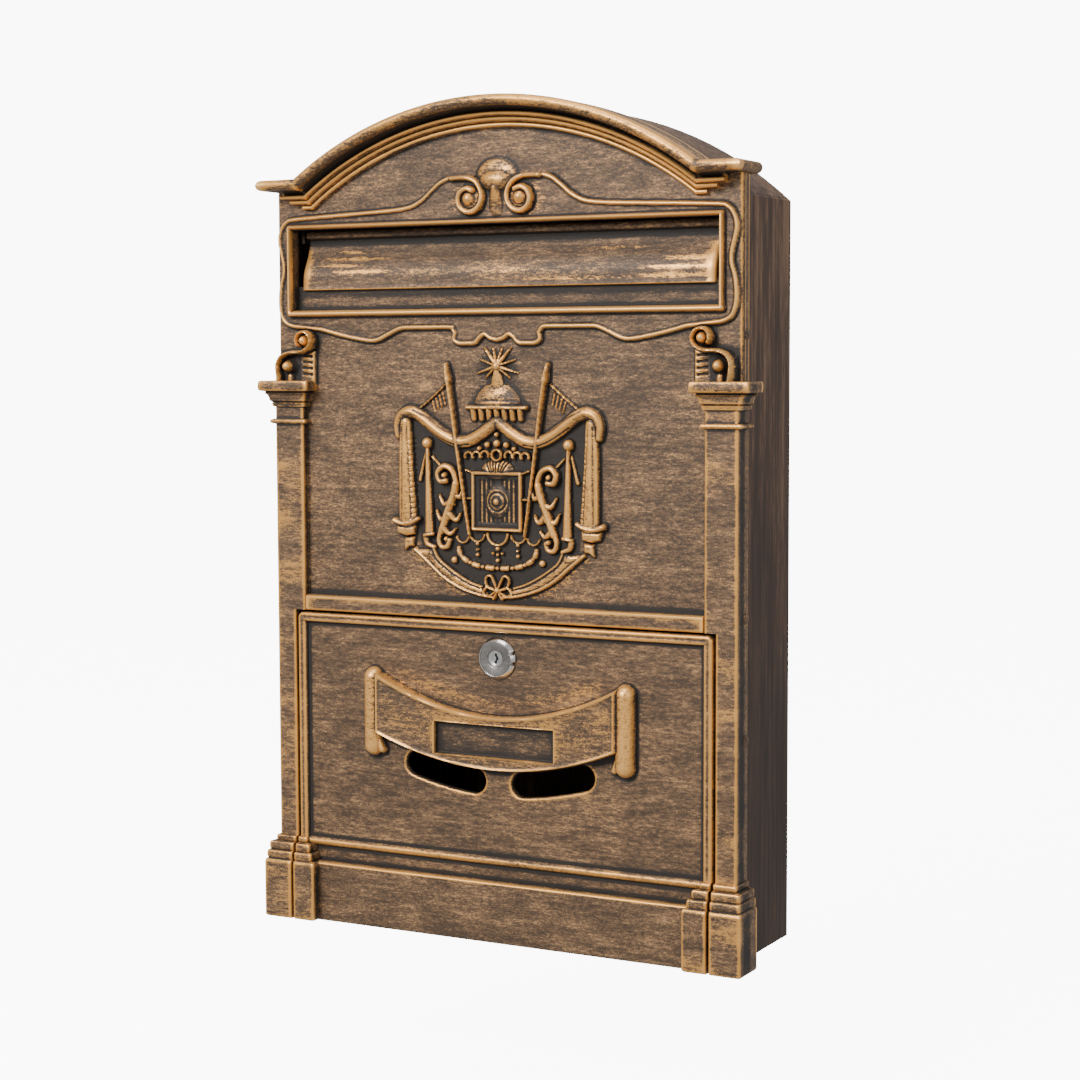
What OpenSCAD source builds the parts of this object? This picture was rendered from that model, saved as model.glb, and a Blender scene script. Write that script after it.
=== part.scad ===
// Wall letterbox: a cast front with a letter flap and a drop-down door,
// fixed to a housing of folded sheet steel with an arched roof.
//
// X runs to the right as seen from the front, Y runs into the wall and Z is up.
// The origin is the middle of the four wall holes, on the wall.
// A distance called d is measured out from the wall, so y = -d.
// Heights are measured from the foot of the pedestals.

/* [Housing] */
// Width over the two side walls
body_w = 254.6; // [212:0.2:320]
// Height from the foot to the top of the cornice
total_h = 410; // [380:1:520]
// Depth of the sheet housing, from the wall to the back of the casting
housing_d = 50; // [40:1:90]
// Thickness of the sheet
sheet_t = 1; // [0.8:0.1:1.6]
// Height of the housing floor above the foot
floor_z = 4.5; // [3:0.5:8]
// Rise of the arched roof above the tops of the side walls
roof_rise = 49.2; // [40:0.1:58]
// Drop from the top of the cornice to the crown of the roof
roof_drop = 1.5; // [1:0.1:3]
// Width of the folded flanges
flange_w = 8; // [5:0.5:12]

/* [Wall fixing] */
// Spacing of the wall holes across
hole_dx = 180; // [120:1:190]
// Spacing of the wall holes up
hole_dz = 220; // [120:1:260]
// Diameter of the wall holes
hole_d = 6.5; // [4:0.1:9]
// Height of the middle of the wall holes
mount_z = 190; // [150:1:200]

/* [Casting] */
// Thickness of the upper plate
plate_t = 3.4; // [2.6:0.1:4.5]
// Step from the back of the casting to the face of the upper plate
plate_step = 8; // [6:0.1:12]
// Thickness of the rim that closes on the housing
rim_t = 2.4; // [2:0.1:3]
// Wall left in front of the hollows in the back of the casting
cast_wall = 3; // [2:0.1:3.6]
// Relief of the columns and the crossbar in front of the upper plate
column_relief = 4.5; // [3:0.1:7]
// Width of a column beside the upper panel
column_w = 16.7; // [14:0.1:22]
// Width of a column beside the door
jamb_w = 10.9; // [9.5:0.1:13]
// Height of the crossbar above the door
crossbar_h = 8; // [6:0.1:14]

/* [Cornice] */
// Rise of the cornice arch above its level tips
arch_rise = 35.6; // [28:0.1:42]
// Distance from the side of the housing to the foot of the arch
arch_inset = 17.6; // [14:0.1:24]
// Overhang of the tips past the side of the housing
tip_overhang = 4.3; // [3:0.1:7]
// Length of the tips back along the sides, from the front of the casting
tip_return = 26.7; // [20:0.1:30]
// Radius of the round nose of the cornice
nose_r = 2.7; // [2:0.1:3.5]
// Height of the whole cornice moulding
cornice_h = 16; // [14:0.1:20]

/* [Pedestals and capitals] */
// Height of a pedestal block
ped_h = 30; // [24:0.5:40]
// Relief of the pedestals in front of the columns
ped_relief = 7.5; // [5:0.1:10]
// Overhang of the outer pedestals past the side of the housing
ped_overhang = 5.1; // [3:0.1:7]
// Width of an inner half-pedestal, on the door
inner_ped_w = 12.5; // [10:0.1:16]
// Distance from the level tips down to the top of the capitals
capital_drop = 100; // [90:0.5:120]
// Overhang of the capital past the column, on each side
abacus_overhang = 6; // [4:0.1:7]

/* [Letter slot] */
// Distance from the level tips down to the middle of the slot frame
slot_drop = 45.2; // [42:0.1:60]
// Height of the slot frame over its bead
slot_frame_h = 46; // [40:0.5:60]
// Distance from the side of the housing to the slot frame
slot_inset = 7.8; // [6:0.1:12]
// Width of the bead round the slot
slot_bead_w = 2.4; // [1.8:0.1:3.4]
// Relief of the bead in front of the upper plate
slot_bead_relief = 5; // [3:0.1:6]
// Height of the sunk sill below the opening
sill_h = 12; // [8:0.1:14]
// Gap between each end of the flap and the slot frame
flap_end_gap = 3.5; // [1:0.1:6]
// Thickness of the flap sheet
flap_t = 1.2; // [0.8:0.1:1.6]
// Diameter of the flap rod
rod_d = 3; // [2.5:0.1:4]
// Clearance round the flap rod, on the radius
rod_clearance = 0.05; // [0.02:0.01:0.1]

/* [Door] */
// Height of the top of the door
door_top = 157.3; // [150:0.1:172]
// Gap at each side of the door
door_side_gap = 1.4; // [0.8:0.1:2]
// Gap above the door
door_top_gap = 1.1; // [0.8:0.1:2]
// Thickness of the door panel
door_t = 2.8; // [2:0.1:3.2]
// Depth of the panel behind the border of the door
door_sink = 2.4; // [1.5:0.1:3]
// Width of the border of the door
door_border = 4.7; // [3.5:0.1:6]
// Diameter of the hinge pins
pin_d = 4; // [3:0.1:5]
// Length of a hinge pin in the door
pin_in_door = 9; // [6:0.5:11]
// Length of a hinge pin in the casting
pin_in_frame = 8; // [6:0.5:10]
// Clearance round the pins in the door, on the radius
pin_clearance = 0.05; // [0.02:0.01:0.1]
// Height of the hinge axis above the foot
hinge_z = 5; // [4.5:0.1:6]
// Distance of the hinge axis behind the front of the pedestals
hinge_setback = 9; // [7:0.1:10]

/* [Banner] */
// Half width of the banner to the middle of its rolls
banner_half = 70; // [55:0.5:75]
// Height of the middle of the name recess
name_z = 99.5; // [98:0.5:101]
// Width of the name recess
name_w = 66; // [40:1:72]
// Height of the name recess
name_h = 15.6; // [10:0.1:17]
// Relief of the banner in front of the door panel
banner_relief = 6; // [4:0.1:7]
// Height of the viewing slots
view_h = 12.4; // [8:0.1:14]

/* [Lock] */
// Diameter of the lock head
lock_head_d = 19.5; // [17:0.1:24]
// Thickness of the lock head
lock_head_t = 2.9; // [2:0.1:4]
// Diameter of the lock barrel
barrel_d = 16; // [13:0.1:19]
// Length of the lock barrel behind its head
barrel_l = 11.7; // [10:0.1:13]
// Diameter of the lock plug
plug_d = 9; // [8:0.1:10]
// Clearance round the plug, on the radius
plug_clearance = 0.05; // [0.02:0.01:0.1]
// Distance from the top of the door down to the lock axis
lock_drop = 17.3; // [15:0.1:20]
// Reach of the cam from the lock axis
cam_reach = 26; // [23:0.5:30]

/* [Crest] */
// Height of the relief on the upper panel
crest_h = 122; // [60:1:135]

/* [Hidden] */
$fn = 64;

half_w = body_w / 2;
bronze = [0.36, 0.28, 0.20];
gold = [0.72, 0.55, 0.33];
dark_steel = [0.22, 0.19, 0.17];
steel = [0.66, 0.66, 0.68];
chrome = [0.80, 0.81, 0.83];
brass = [0.78, 0.62, 0.30];

// Distances from the wall
d_edge = housing_d;
d_face = d_edge + plate_step;
d_back = d_face - plate_t;
d_column = d_face + column_relief;
d_ped = d_column + ped_relief;
cornice_relief = 1.7;
d_cornice = d_ped + cornice_relief;
d_bead = d_face + slot_bead_relief;

// Arched roof
roof_top = total_h - roof_drop;
spring_z = roof_top - roof_rise;
roof_r = (half_w * half_w + roof_rise * roof_rise) / (2 * roof_rise);
roof_c = roof_top - roof_r;

// Arched cornice
arch_half = half_w - arch_inset;
arch_r = (arch_half * arch_half + arch_rise * arch_rise) / (2 * arch_rise);
arch_c = total_h - arch_r;
tip_z = total_h - arch_rise;
tip_x = half_w + tip_overhang;

// Heights
crossbar_z = door_top + door_top_gap;
panel_z = crossbar_z + crossbar_h;
capital_z = tip_z - capital_drop;
slot_z = tip_z - slot_drop;
slot_bottom = slot_z - slot_frame_h / 2;
slot_top = slot_z + slot_frame_h / 2;
slot_out = half_w - slot_inset;
slot_in = slot_out - slot_bead_w;
sill_bead = slot_bead_w + 0.9;
opening_z = slot_bottom + sill_bead + sill_h;
opening_top = slot_top - slot_bead_w;
column_in = half_w - column_w;
jamb_in = half_w - jamb_w;
door_half = jamb_in - door_side_gap;
ring_top = ped_h + 11;

// Flap: the rod lies behind the top bead of the slot
rod_axis_d = d_edge;
rod_axis_z = opening_top - 2.9;
knuckle_r = rod_d / 2 + rod_clearance + flap_t - 0.15;
flap_half = slot_in - flap_end_gap;
flap_reach = rod_axis_z - opening_z + 1.9;
flap_bulge = d_face - rod_axis_d - 1.2;
clip_t = 1.5;
clip_gap = 0.6;
clip_x = flap_half + clip_gap;
cap_t = 1.2;

// Door and hinge
d_door_face = d_column;
d_panel = d_door_face - door_sink;
d_door_back = d_panel - door_t;
d_skirt = d_door_face + 2;
hinge_d = d_ped - hinge_setback;
lock_z = door_top - lock_drop;

// Lock, front to back
d_lock_front = d_panel + lock_head_t;
d_barrel_back = d_panel - barrel_l;
washer_t = 0.8;
nut_t = 3.5;
cam_t = 1.5;
cam_gap = 0.3;
d_cam_front = d_barrel_back - cam_gap;
d_cam_back = d_cam_front - cam_t;
shank_w = 6;
keeper_gap = 0.5;
d_keeper = d_cam_front + keeper_gap;
keeper_half = 14;

// Crest, drawn 122 high and scaled to its height
crest_s = crest_h / 122;
crest_z = panel_z + 2;

// ---- Curves ----

function unit(v) = v / norm(v);
function across(v) = [-v[1], v[0]];
function heading(p, i) = unit(p[min(i + 1, len(p) - 1)] - p[max(i - 1, 0)]);

// Smooth run through a list of points
function between(a, b, c, d, t) = 0.5 * (2 * b + (c - a) * t
    + (2 * a - 5 * b + 4 * c - d) * t * t + (3 * b - a - 3 * c + d) * t * t * t);
function smooth(p, n = 5) = [for (i = [0:len(p) - 2], k = [0:n - 1])
    between(p[max(i - 1, 0)], p[i], p[i + 1], p[min(i + 2, len(p) - 1)], k / n),
    p[len(p) - 1]];

// Outline of a band of width w along a run of points, tapering to w_end
function band(p, w, w_end = -1) = let (n = len(p) - 1, we = w_end < 0 ? w : w_end)
    concat(
        [for (i = [0:n]) p[i] + across(heading(p, i)) * (w + (we - w) * i / n) / 2],
        [for (i = [n:-1:0]) p[i] - across(heading(p, i)) * (w + (we - w) * i / n) / 2]);

// ---- Placing ----

module on_wall() translate([0, 0, -mount_z]) children();
module both_sides() { children(); mirror([1, 0, 0]) children(); }

// A flat outline in X and Z, from distance d0 to distance d1 off the wall
module slab(d0, d1) translate([0, -d0, 0]) rotate([90, 0, 0])
    linear_extrude(d1 - d0) children();

// A block between two corners given as [x, d, z]
module block(a, b) translate([a[0], -b[1], a[2]])
    cube([b[0] - a[0], b[1] - a[1], b[2] - a[2]]);

// A round bar along X from x0 to x1
module x_bar(x0, x1, d, z, dia) translate([x0, -d, z]) rotate([0, 90, 0])
    cylinder(d = dia, h = x1 - x0);

// A round bar out from the wall from d0 to d1
module d_bar(d0, d1, x, z, dia) translate([x, -d0, z]) rotate([90, 0, 0])
    cylinder(d = dia, h = d1 - d0);

// A section drawn in [d, z], run along X from x0 to x1
module along_x(x0, x1) translate([x0, 0, 0]) rotate([90, 0, 90])
    linear_extrude(x1 - x0) mirror([1, 0]) children();

// ---- Housing ----

// Front outline of the housing: straight sides below, one arc above
module housing_outline(inset = 0) {
    translate([inset - half_w, inset]) square([body_w - 2 * inset, roof_c - inset + 1]);
    intersection() {
        translate([inset - half_w, roof_c]) square([body_w - 2 * inset, total_h]);
        translate([0, roof_c]) circle(r = roof_r - inset, $fn = 128);
    }
}

module wall_holes() for (x = [-1, 1], z = [-1, 1])
    d_bar(-1, sheet_t + 1, x * hole_dx / 2, mount_z + z * hole_dz / 2, hole_d);

back_rivet_d = 3;
back_rivet_z = [floor_z + 40, (floor_z + spring_z) / 2, spring_z - 40];

module back_rivet_holes() both_sides() for (z = back_rivet_z)
    d_bar(-1, 2 * sheet_t + 1, half_w - sheet_t - flange_w / 2, z, back_rivet_d);

module back_panel() color(dark_steel) on_wall() difference() {
    slab(0, sheet_t) difference() {
        housing_outline();
        translate([-half_w - 1, -1]) square([body_w + 2, floor_z + 1]);
    }
    wall_holes();
    back_rivet_holes();
}

rivet_d = 3;
rivet_dist = (d_edge + d_back) / 2;
rivet_z = [108, 165, capital_z + 21.4];

module rivet_holes() for (z = rivet_z)
    x_bar(half_w - 2 * rim_t - 2, half_w + 1, rivet_dist, z, rivet_d);

// Right side wall: flange on the back panel, joggled tab inside the casting
module side_wall() difference() {
    union() {
        translate([0, 0, floor_z]) linear_extrude(spring_z - floor_z) polygon([
            [half_w, -sheet_t], [half_w, -d_edge], [half_w - rim_t - sheet_t, -d_edge],
            [half_w - rim_t - sheet_t, sheet_t - d_edge], [half_w - sheet_t, sheet_t - d_edge],
            [half_w - sheet_t, -2 * sheet_t], [half_w - sheet_t - flange_w, -2 * sheet_t],
            [half_w - sheet_t - flange_w, -sheet_t]]);
        block([half_w - rim_t - sheet_t, d_edge - sheet_t, tab_z0],
              [half_w - rim_t, d_back - 0.3, tab_z1]);
    }
    rivet_holes();
    back_rivet_holes();
}
tab_z0 = ring_top + 20;
tab_z1 = opening_z;

module left_side() color(dark_steel) on_wall() mirror([1, 0, 0]) side_wall();
module right_side() color(dark_steel) on_wall() side_wall();

// Roof: arched sheet with a flange on the back panel and a lip inside each wall
module roof_sheet() color(dark_steel) on_wall() union() {
    slab(sheet_t, d_edge) intersection() {
        difference() {
            translate([0, roof_c]) circle(r = roof_r, $fn = 128);
            translate([0, roof_c]) circle(r = roof_r - sheet_t, $fn = 128);
        }
        translate([-half_w, spring_z]) square([body_w, roof_rise + 5]);
    }
    slab(sheet_t, 2 * sheet_t) intersection() {
        difference() {
            translate([0, roof_c]) circle(r = roof_r - sheet_t / 2, $fn = 128);
            translate([0, roof_c]) circle(r = roof_r - flange_w, $fn = 128);
        }
        translate([-half_w + 2 * sheet_t, spring_z + 1])
            square([body_w - 4 * sheet_t, roof_rise + 5]);
    }
    both_sides() block([half_w - 2 * sheet_t, 2 * sheet_t + 1, spring_z - flange_w],
                       [half_w - sheet_t, d_edge - 2 * sheet_t, spring_z + 1.2]);
}

// Floor: pan with turned-up edges, short of the swing of the door
module floor_panel() color(dark_steel) on_wall() {
    half = half_w - sheet_t;
    back = 2 * sheet_t;
    difference() {
        block([-half, back, floor_z], [half, d_edge - sheet_t, floor_z + flange_w]);
        block([-half + sheet_t, back + sheet_t, floor_z + sheet_t],
              [half - sheet_t, d_edge - 2 * sheet_t, floor_z + flange_w + 1]);
        both_sides() block([half - 1.2 * flange_w, back - 1, floor_z + sheet_t],
              [half + 1, back + sheet_t + 0.01, floor_z + flange_w + 1]);
    }
}

module domed_rivet(dia, shank_l) rotate_extrude() polygon(concat(
    [[0, -shank_l], [dia / 2, -shank_l], [dia / 2, 0]],
    [for (a = [0:18:90]) [dia * 0.95 * cos(a), dia * 0.32 * sin(a)]]));

module housing_rivets() color(bronze) on_wall() both_sides() for (z = rivet_z)
    translate([half_w, -rivet_dist, z]) rotate([0, 90, 0])
        domed_rivet(rivet_d - 0.1, rim_t + sheet_t + 1);

module back_rivets() color(steel) on_wall() both_sides() for (z = back_rivet_z)
    translate([half_w - sheet_t - flange_w / 2, -2 * sheet_t, z]) rotate([90, 0, 0])
        domed_rivet(back_rivet_d - 0.1, 2 * sheet_t);

// ---- Cornice ----

// Section of the cornice as [inward, d]: round nose, cove and three steps
cove_u = 2 * nose_r;
step_u = (cornice_h - cove_u - 4) / 3;
step_d = (d_cornice - 6.4 - d_face - 2.6) / 2;
function step_front(i) = d_cornice - 6.4 - i * step_d;
cornice_section = concat(
    [[0, d_back]],
    [for (a = [0:20:180]) [nose_r * (1 - cos(a)), d_cornice - nose_r * (1 - sin(a))]],
    [[cove_u, d_cornice - 4.6], [cove_u + 1.2, d_cornice - 5.6],
     [cove_u + 3.6, d_cornice - 6.4]],
    [for (i = [0:2], s = [0, 1])
        [cove_u + 4 + (i + s) * step_u, step_front(i)]],
    [[cornice_h, d_back]]);

module arch_region() polygon([
    [-arch_half - 0.01, tip_z + 0.01], [-arch_half - 0.01, total_h + 1],
    [arch_half + 0.01, total_h + 1], [arch_half + 0.01, tip_z + 0.01],
    [mitre_x, tip_z - cornice_h], [-mitre_x, tip_z - cornice_h]]);
mitre_x = sqrt(pow(arch_r - cornice_h, 2) - pow(tip_z - cornice_h - arch_c, 2));

module arch_moulding() intersection() {
    translate([0, 0, arch_c]) rotate([90, 0, 0])
        rotate_extrude($fn = 128) polygon([for (p = cornice_section) [arch_r - p[0], p[1]]]);
    slab(d_back - 1, d_cornice + 1) arch_region();
}

// Round nose of the level tip as [d, z], run back to a given distance
function nose_section(d_end) = concat([[d_end, tip_z]],
    [for (i = [1:10]) [cornice_section[i][1], tip_z - cornice_section[i][0]]],
    [[d_end, tip_z - cove_u]]);

// Level part of the moulding on the right; each step stops a little shorter
module level_moulding() {
    difference() {
        union() {
            along_x(mitre_x, tip_x) polygon(nose_section(d_back));
            block([mitre_x, d_back, tip_z - cove_u - 4],
                  [half_w - 3, d_cornice - 6, tip_z - cove_u + 0.01]);
            for (i = [0:2]) block(
                [mitre_x, d_back, tip_z - cove_u - 4 - (i + 1) * step_u],
                [half_w - 6.1 - 5 * i, step_front(i), tip_z - cove_u - 4 - i * step_u + 0.01]);
        }
        slab(d_back - 1, d_cornice + 1) arch_region();
    }
    along_x(tip_x - 12, tip_x) polygon(nose_section(d_cornice - tip_return));
}

// ---- Slot frame and plaque ----

// Right half of the plaque edge, from the volute round to the centre drop.
// Points are [x, z] with x from the slot frame's corner and z from its middle.
function plaque_right() = smooth([
    [slot_out - 76, 31.2], [slot_out - 66, 28.7], [slot_out - 40, 27.4],
    [slot_out - 14, 26.2], [slot_out + 1, 25.4], [slot_out + 4.8, 21],
    [slot_out + 5.2, 14], [slot_out + 3.4, 4], [slot_out + 4.6, -7],
    [slot_out + 5.0, -17], [slot_out + 2.6, -25], [slot_out - 3, -27.8],
    [slot_out - 20, -29.4], [slot_out - 38, -33.4], [slot_out - 49, -34.8],
    [slot_out - 58, -32.4], [slot_out - 67, -28.8], [slot_out - 76, -28.6]], 4);

function drop_right() = [[23.8, -28.6], [23.8, -33], [22, -35.6], [12, -35.8],
    [7.4, -32.6], [4, -34.4], [0, -35]];

function volute_top() = smooth([[slot_out - 76, 31.2], [37, 35.8], [30, 41.2],
    [22, 43], [13, 42], [6, 38.6], [0, 37]], 4);

plaque_relief = 1.5;
plaque_edge_relief = 2.7;

// Opening inside the bead of the slot frame
module slot_hole() translate([-slot_in, slot_bottom + sill_bead])
    square([2 * slot_in, opening_top - slot_bottom - sill_bead]);

module plaque() {
    top = volute_top();
    half = concat([[0, 20]], [for (i = [len(top) - 1:-1:1]) top[i]], plaque_right(), drop_right());
    slab(d_face - 0.5, d_face + plaque_relief) difference() {
        both_sides() translate([0, slot_z]) polygon(half);
        slot_hole();
    }
    translate([0, 0, slot_z]) {
        both_sides() {
            slab(d_face - 0.5, d_face + plaque_edge_relief) polygon(band(plaque_right(), 1.7));
            slab(d_face - 0.5, d_face + plaque_edge_relief) polygon(band(top, 1.7, 3));
            d_bar(d_face - 0.5, d_face + 4, 12.6, 32.8, 17);
            d_bar(d_face - 0.5, d_face + 5.6, 13.6, 32.8, 7.6);
        }
        slab(d_face - 0.5, d_face + 3.6)
            polygon([for (a = [0:15:180]) [8.6 * cos(a), 41 + 8 * sin(a)]]);
    }
}

module slot_frame() slab(d_face - 0.5, d_bead) difference() {
    translate([-slot_out, slot_bottom]) square([2 * slot_out, slot_frame_h]);
    slot_hole();
}

// ---- Columns, capitals, pedestals ----

// Mouldings that wrap a corner: front part on the plate, side part on the rim
module wrap(x0, x1, front, z0, z1, back = d_edge) {
    block([x0, d_back, z0], [x1, front, z1]);
    block([half_w - rim_t, back, z0], [x1, front, z1]);
}

module capital() {
    edge = abacus_overhang;
    wrap(column_in - edge, half_w + edge + 1.3, d_column + 5.6, capital_z - 5.2, capital_z);
    wrap(column_in - edge + 2, half_w + edge - 1.3, d_column + 3.5, capital_z - 9.9, capital_z - 5.2);
    wrap(column_in - 1, half_w + 1, d_column + 1, capital_z - 12, capital_z - 9.9);
    wrap(column_in - 1.7, half_w + 2.8, d_column + 1.3, capital_z - 21.6, capital_z - 19.2);
}

// Console of two scrolls on the capital
module console() translate([0, 0, capital_z]) {
    mid = half_w - 7.3;
    slab(d_face - 0.5, d_face + 2.4) translate([column_in - 6.8, 0]) square([column_w + 5.6, 15.6]);
    d_bar(d_face, d_ped - 1.8, mid, 7.4, 11);
    d_bar(d_face, d_ped - 3.5, mid - 8.7, 19.6, 13);
    slab(d_face, d_ped - 4) polygon(band(smooth([[mid - 15, 19], [mid - 12, 13.4],
        [mid - 3, 12.6], [mid + 6, 8], [mid + 5, 0]]), 2.6));
    block([mid - 4.6, d_face, 0], [mid + 4.6, d_ped - 4.2, 4]);
}

// Half-pedestal between x0 and x1: a block, and three rings on a core.
// A ring is [height above the block, height, step back]; in0 and in1 say how
// much of the step each end takes.
rings = [[1, 2.4, 1.1], [4, 4.8, 2.3], [9, 2.2, 4.4]];
core_step = 5.4;
module pedestal(x0, x1, back, in0, in1) {
    block([x0, back, 0], [x1, d_ped, ped_h]);
    block([x0 + in0 * core_step, back, 0], [x1 - in1 * core_step, d_ped - core_step, ring_top]);
    for (r = rings) block([x0 + in0 * r[2], back, ped_h + r[0]],
                          [x1 - in1 * r[2], d_ped - r[2], ped_h + r[0] + r[1]]);
}

// ---- Crest: generic cartouche in draped cloth ----

module crest_slab(h, p) slab(d_face - 0.4, d_face + h) polygon([for (q = p) q * crest_s]);

module crest() translate([0, 0, crest_z]) {
    swag = smooth([[0, 85], [8, 80], [20, 77.5], [31, 81], [40, 88], [48, 91.6], [54.5, 90], [56.5, 83]]);
    hem = smooth([[51, 24], [44, 17], [30, 9.5], [18, 4.6], [8, 2], [0, 1]]);
    scroll = smooth([[20, 49], [23, 56], [29, 60], [32, 66], [28, 69.5], [23.5, 66]]);
    scroll_low = smooth([[20, 49], [27, 44], [28.5, 36], [23, 31], [28, 24], [34, 22]]);
    garland = smooth([[34, 29], [24, 21.5], [12, 17], [0, 15.6]]);
    both_sides() {
        crest_slab(3.4, band(swag, 5.2));
        crest_slab(4, band([[48.5, 86], [50.5, 37]], 8.2, 11));
        crest_slab(3.2, band([[51, 37], [50, 31], [47.5, 25]], 11, 7));
        crest_slab(3, band([[26, 114], [15.5, 32]], 3, 1.8));
        crest_slab(2.6, band([[37.2, 74], [38.4, 30]], 2.2, 4.4));
        crest_slab(2.8, [for (a = [0:36:324]) [37.2 + 2.8 * cos(a), 76 + 2.8 * sin(a)]]);
        crest_slab(3, band(scroll, 4.6, 2.2));
        crest_slab(3, band(scroll_low, 5.4, 2));
        crest_slab(2.2, band(hem, 3.2));
        crest_slab(2.2, band(garland, 2.4));
        crest_slab(2.2, band(smooth([[1, 10], [7, 12], [8, 4.6], [1, 5.6]]), 1.6));
    }
    crest_slab(2.4, [[-13.2, 33], [13.2, 33], [13.2, 62.4], [-13.2, 62.4]]);
    crest_slab(2.6, [for (a = [0:15:180]) [14 * cos(a), 94.5 + 11 * sin(a)]]);
    crest_slab(3, [[-16.4, 87], [16.4, 87], [16.4, 94.5], [-16.4, 94.5]]);
    crest_slab(2.2, [for (a = [0:15:180]) [9 * cos(a), 62 + 7.6 * sin(a)]]);
    for (a = [10:32:170]) crest_slab(2.2, band([[0, 107], [10 * cos(a), 112 + 10 * sin(a)]], 3, 1));
}

// ---- Front casting ----

module casting_hollows() both_sides() {
    block([column_in + cast_wall, d_back - 1, panel_z + 4],
          [half_w - rim_t, d_column - cast_wall, capital_z - 24]);
    block([jamb_in + cast_wall, d_edge - 1, ring_top + 8],
          [half_w - rim_t, d_column - cast_wall, panel_z - 6]);
    block([jamb_in + cast_wall, d_edge - 1, hinge_z + 9],
          [half_w - rim_t, d_ped - cast_wall, ped_h - cast_wall]);
}

module hinge_bores(x0, x1, dia) both_sides() x_bar(x0, x1, hinge_d, hinge_z, dia);

clip_screw_d = 3;
clip_screw_z = rod_axis_z + 9;
module clip_screw_holes(dia, d0, d1) both_sides()
    d_bar(d0, d1, clip_x + clip_t / 2, clip_screw_z, dia);

module front_casting() color(bronze) on_wall() difference() {
    union() {
        slab(d_back, d_face) difference() {
            housing_outline();
            translate([-jamb_in, -1]) square([2 * jamb_in, crossbar_z + 1]);
            slot_hole();
        }
        slab(d_edge, d_back + 0.01) difference() {
            housing_outline();
            housing_outline(rim_t);
            translate([-jamb_in, -1]) square([2 * jamb_in, crossbar_z + 1]);
        }
        slab(d_back - 2.4, d_back + 0.6) translate([-slot_in - 1.5, slot_bottom])
            square([2 * slot_in + 3, opening_z - slot_bottom]);
        arch_moulding();
        both_sides() {
            level_moulding();
            block([column_in, d_face - 0.5, crossbar_z], [half_w, d_column, capital_z]);
            block([jamb_in, d_face - 0.5, ped_h], [half_w, d_column, crossbar_z + 0.01]);
            block([half_w - rim_t, d_edge, ped_h], [half_w, d_column, capital_z]);
            capital();
            console();
            pedestal(jamb_in, half_w + ped_overhang, d_edge, 0, 1);
        }
        block([-column_in - 0.01, d_face - 0.5, crossbar_z],
              [column_in + 0.01, d_column, panel_z]);
        block([-keeper_half, d_keeper, crossbar_z], [keeper_half, d_back + 0.01, panel_z]);
        slot_frame();
        plaque();
        crest();
    }
    casting_hollows();
    hinge_bores(jamb_in - 1, jamb_in + pin_in_frame + 0.5, pin_d);
    both_sides() rivet_holes();
    clip_screw_holes(clip_screw_d, d_back - 1, d_face - 0.8);
}

// ---- Letter flap ----

// Section of the flap as points [d, z] from the rod axis
flap_run = smooth([[0.6, -knuckle_r + 0.5], [0.4, -4.6], [2.4, -9.6], [5.4, -14.6],
    [flap_bulge, -19.4], [flap_bulge + 0.3, 2.5 - flap_reach],
    [flap_bulge + 0.9, -flap_reach]], 5);

module slot_flap() color(gold) on_wall() difference() {
    translate([0, -rod_axis_d, rod_axis_z]) union() {
        along_x(-flap_half, flap_half) polygon(band(flap_run, flap_t));
        x_bar(-flap_half, flap_half, 0, 0, 2 * knuckle_r);
    }
    x_bar(-flap_half - 1, flap_half + 1, rod_axis_d, rod_axis_z, rod_d + 2 * rod_clearance);
}

module flap_rod() color(steel) on_wall() x_bar(-clip_x - clip_t - cap_t - 0.4,
    clip_x + clip_t + cap_t + 0.4, rod_axis_d, rod_axis_z, rod_d);

// Clip: foot on the back of the casting and an ear round the rod
clip_foot_w = 8;
clip_foot_low = 4.6;
clip_ear_r = 3.6;
clip_web_top = 5.8;
clip_head_d = 5.6;
clip_head_t = 1.6;
module rod_clips() color(steel) on_wall() both_sides() difference() {
    foot_x = clip_x + clip_t / 2;
    union() {
        block([foot_x - clip_foot_w / 2, d_back - clip_t, rod_axis_z + clip_foot_low],
              [foot_x + clip_foot_w / 2, d_back, clip_screw_z + clip_foot_low]);
        block([clip_x, rod_axis_d - clip_ear_r, rod_axis_z - clip_ear_r],
              [clip_x + clip_t, rod_axis_d + clip_ear_r, rod_axis_z + clip_ear_r]);
        block([clip_x, d_back - 2 * clip_t - 1, rod_axis_z + clip_ear_r - 0.6],
              [clip_x + clip_t, d_back - clip_t + 0.01, rod_axis_z + clip_web_top]);
    }
    x_bar(clip_x - 1, clip_x + clip_t + 1, rod_axis_d, rod_axis_z, rod_d);
    clip_screw_holes(clip_screw_d + 0.3, d_back - 2 * clip_t, d_back + 1);
}

module clip_screws() color(steel) on_wall() both_sides() {
    x = clip_x + clip_t / 2;
    d_bar(d_back - clip_t - clip_head_t, d_back - clip_t, x, clip_screw_z, clip_head_d);
    d_bar(d_back - clip_t - 0.01, d_face - 1, x, clip_screw_z, clip_screw_d - 0.1);
}

module rod_caps() color(steel) on_wall() both_sides()
    difference() {
        x_bar(clip_x + clip_t, clip_x + clip_t + cap_t, rod_axis_d, rod_axis_z, 6);
        x_bar(clip_x, clip_x + clip_t + cap_t + 1, rod_axis_d, rod_axis_z, rod_d);
    }

// ---- Door ----

// Lower edge of the banner, and the upper edge, as heights over x
banner_low = name_z - 14.6;
banner_high = name_z + 12.3;
function banner_edge(x, low) = low ? banner_low + 12.6 * pow(x / 63, 2)
    : banner_high + 17.6 * pow(x / 66, 2);
banner_xs = [for (i = [-10:10]) i / 10 * (banner_half - 4)];

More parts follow.
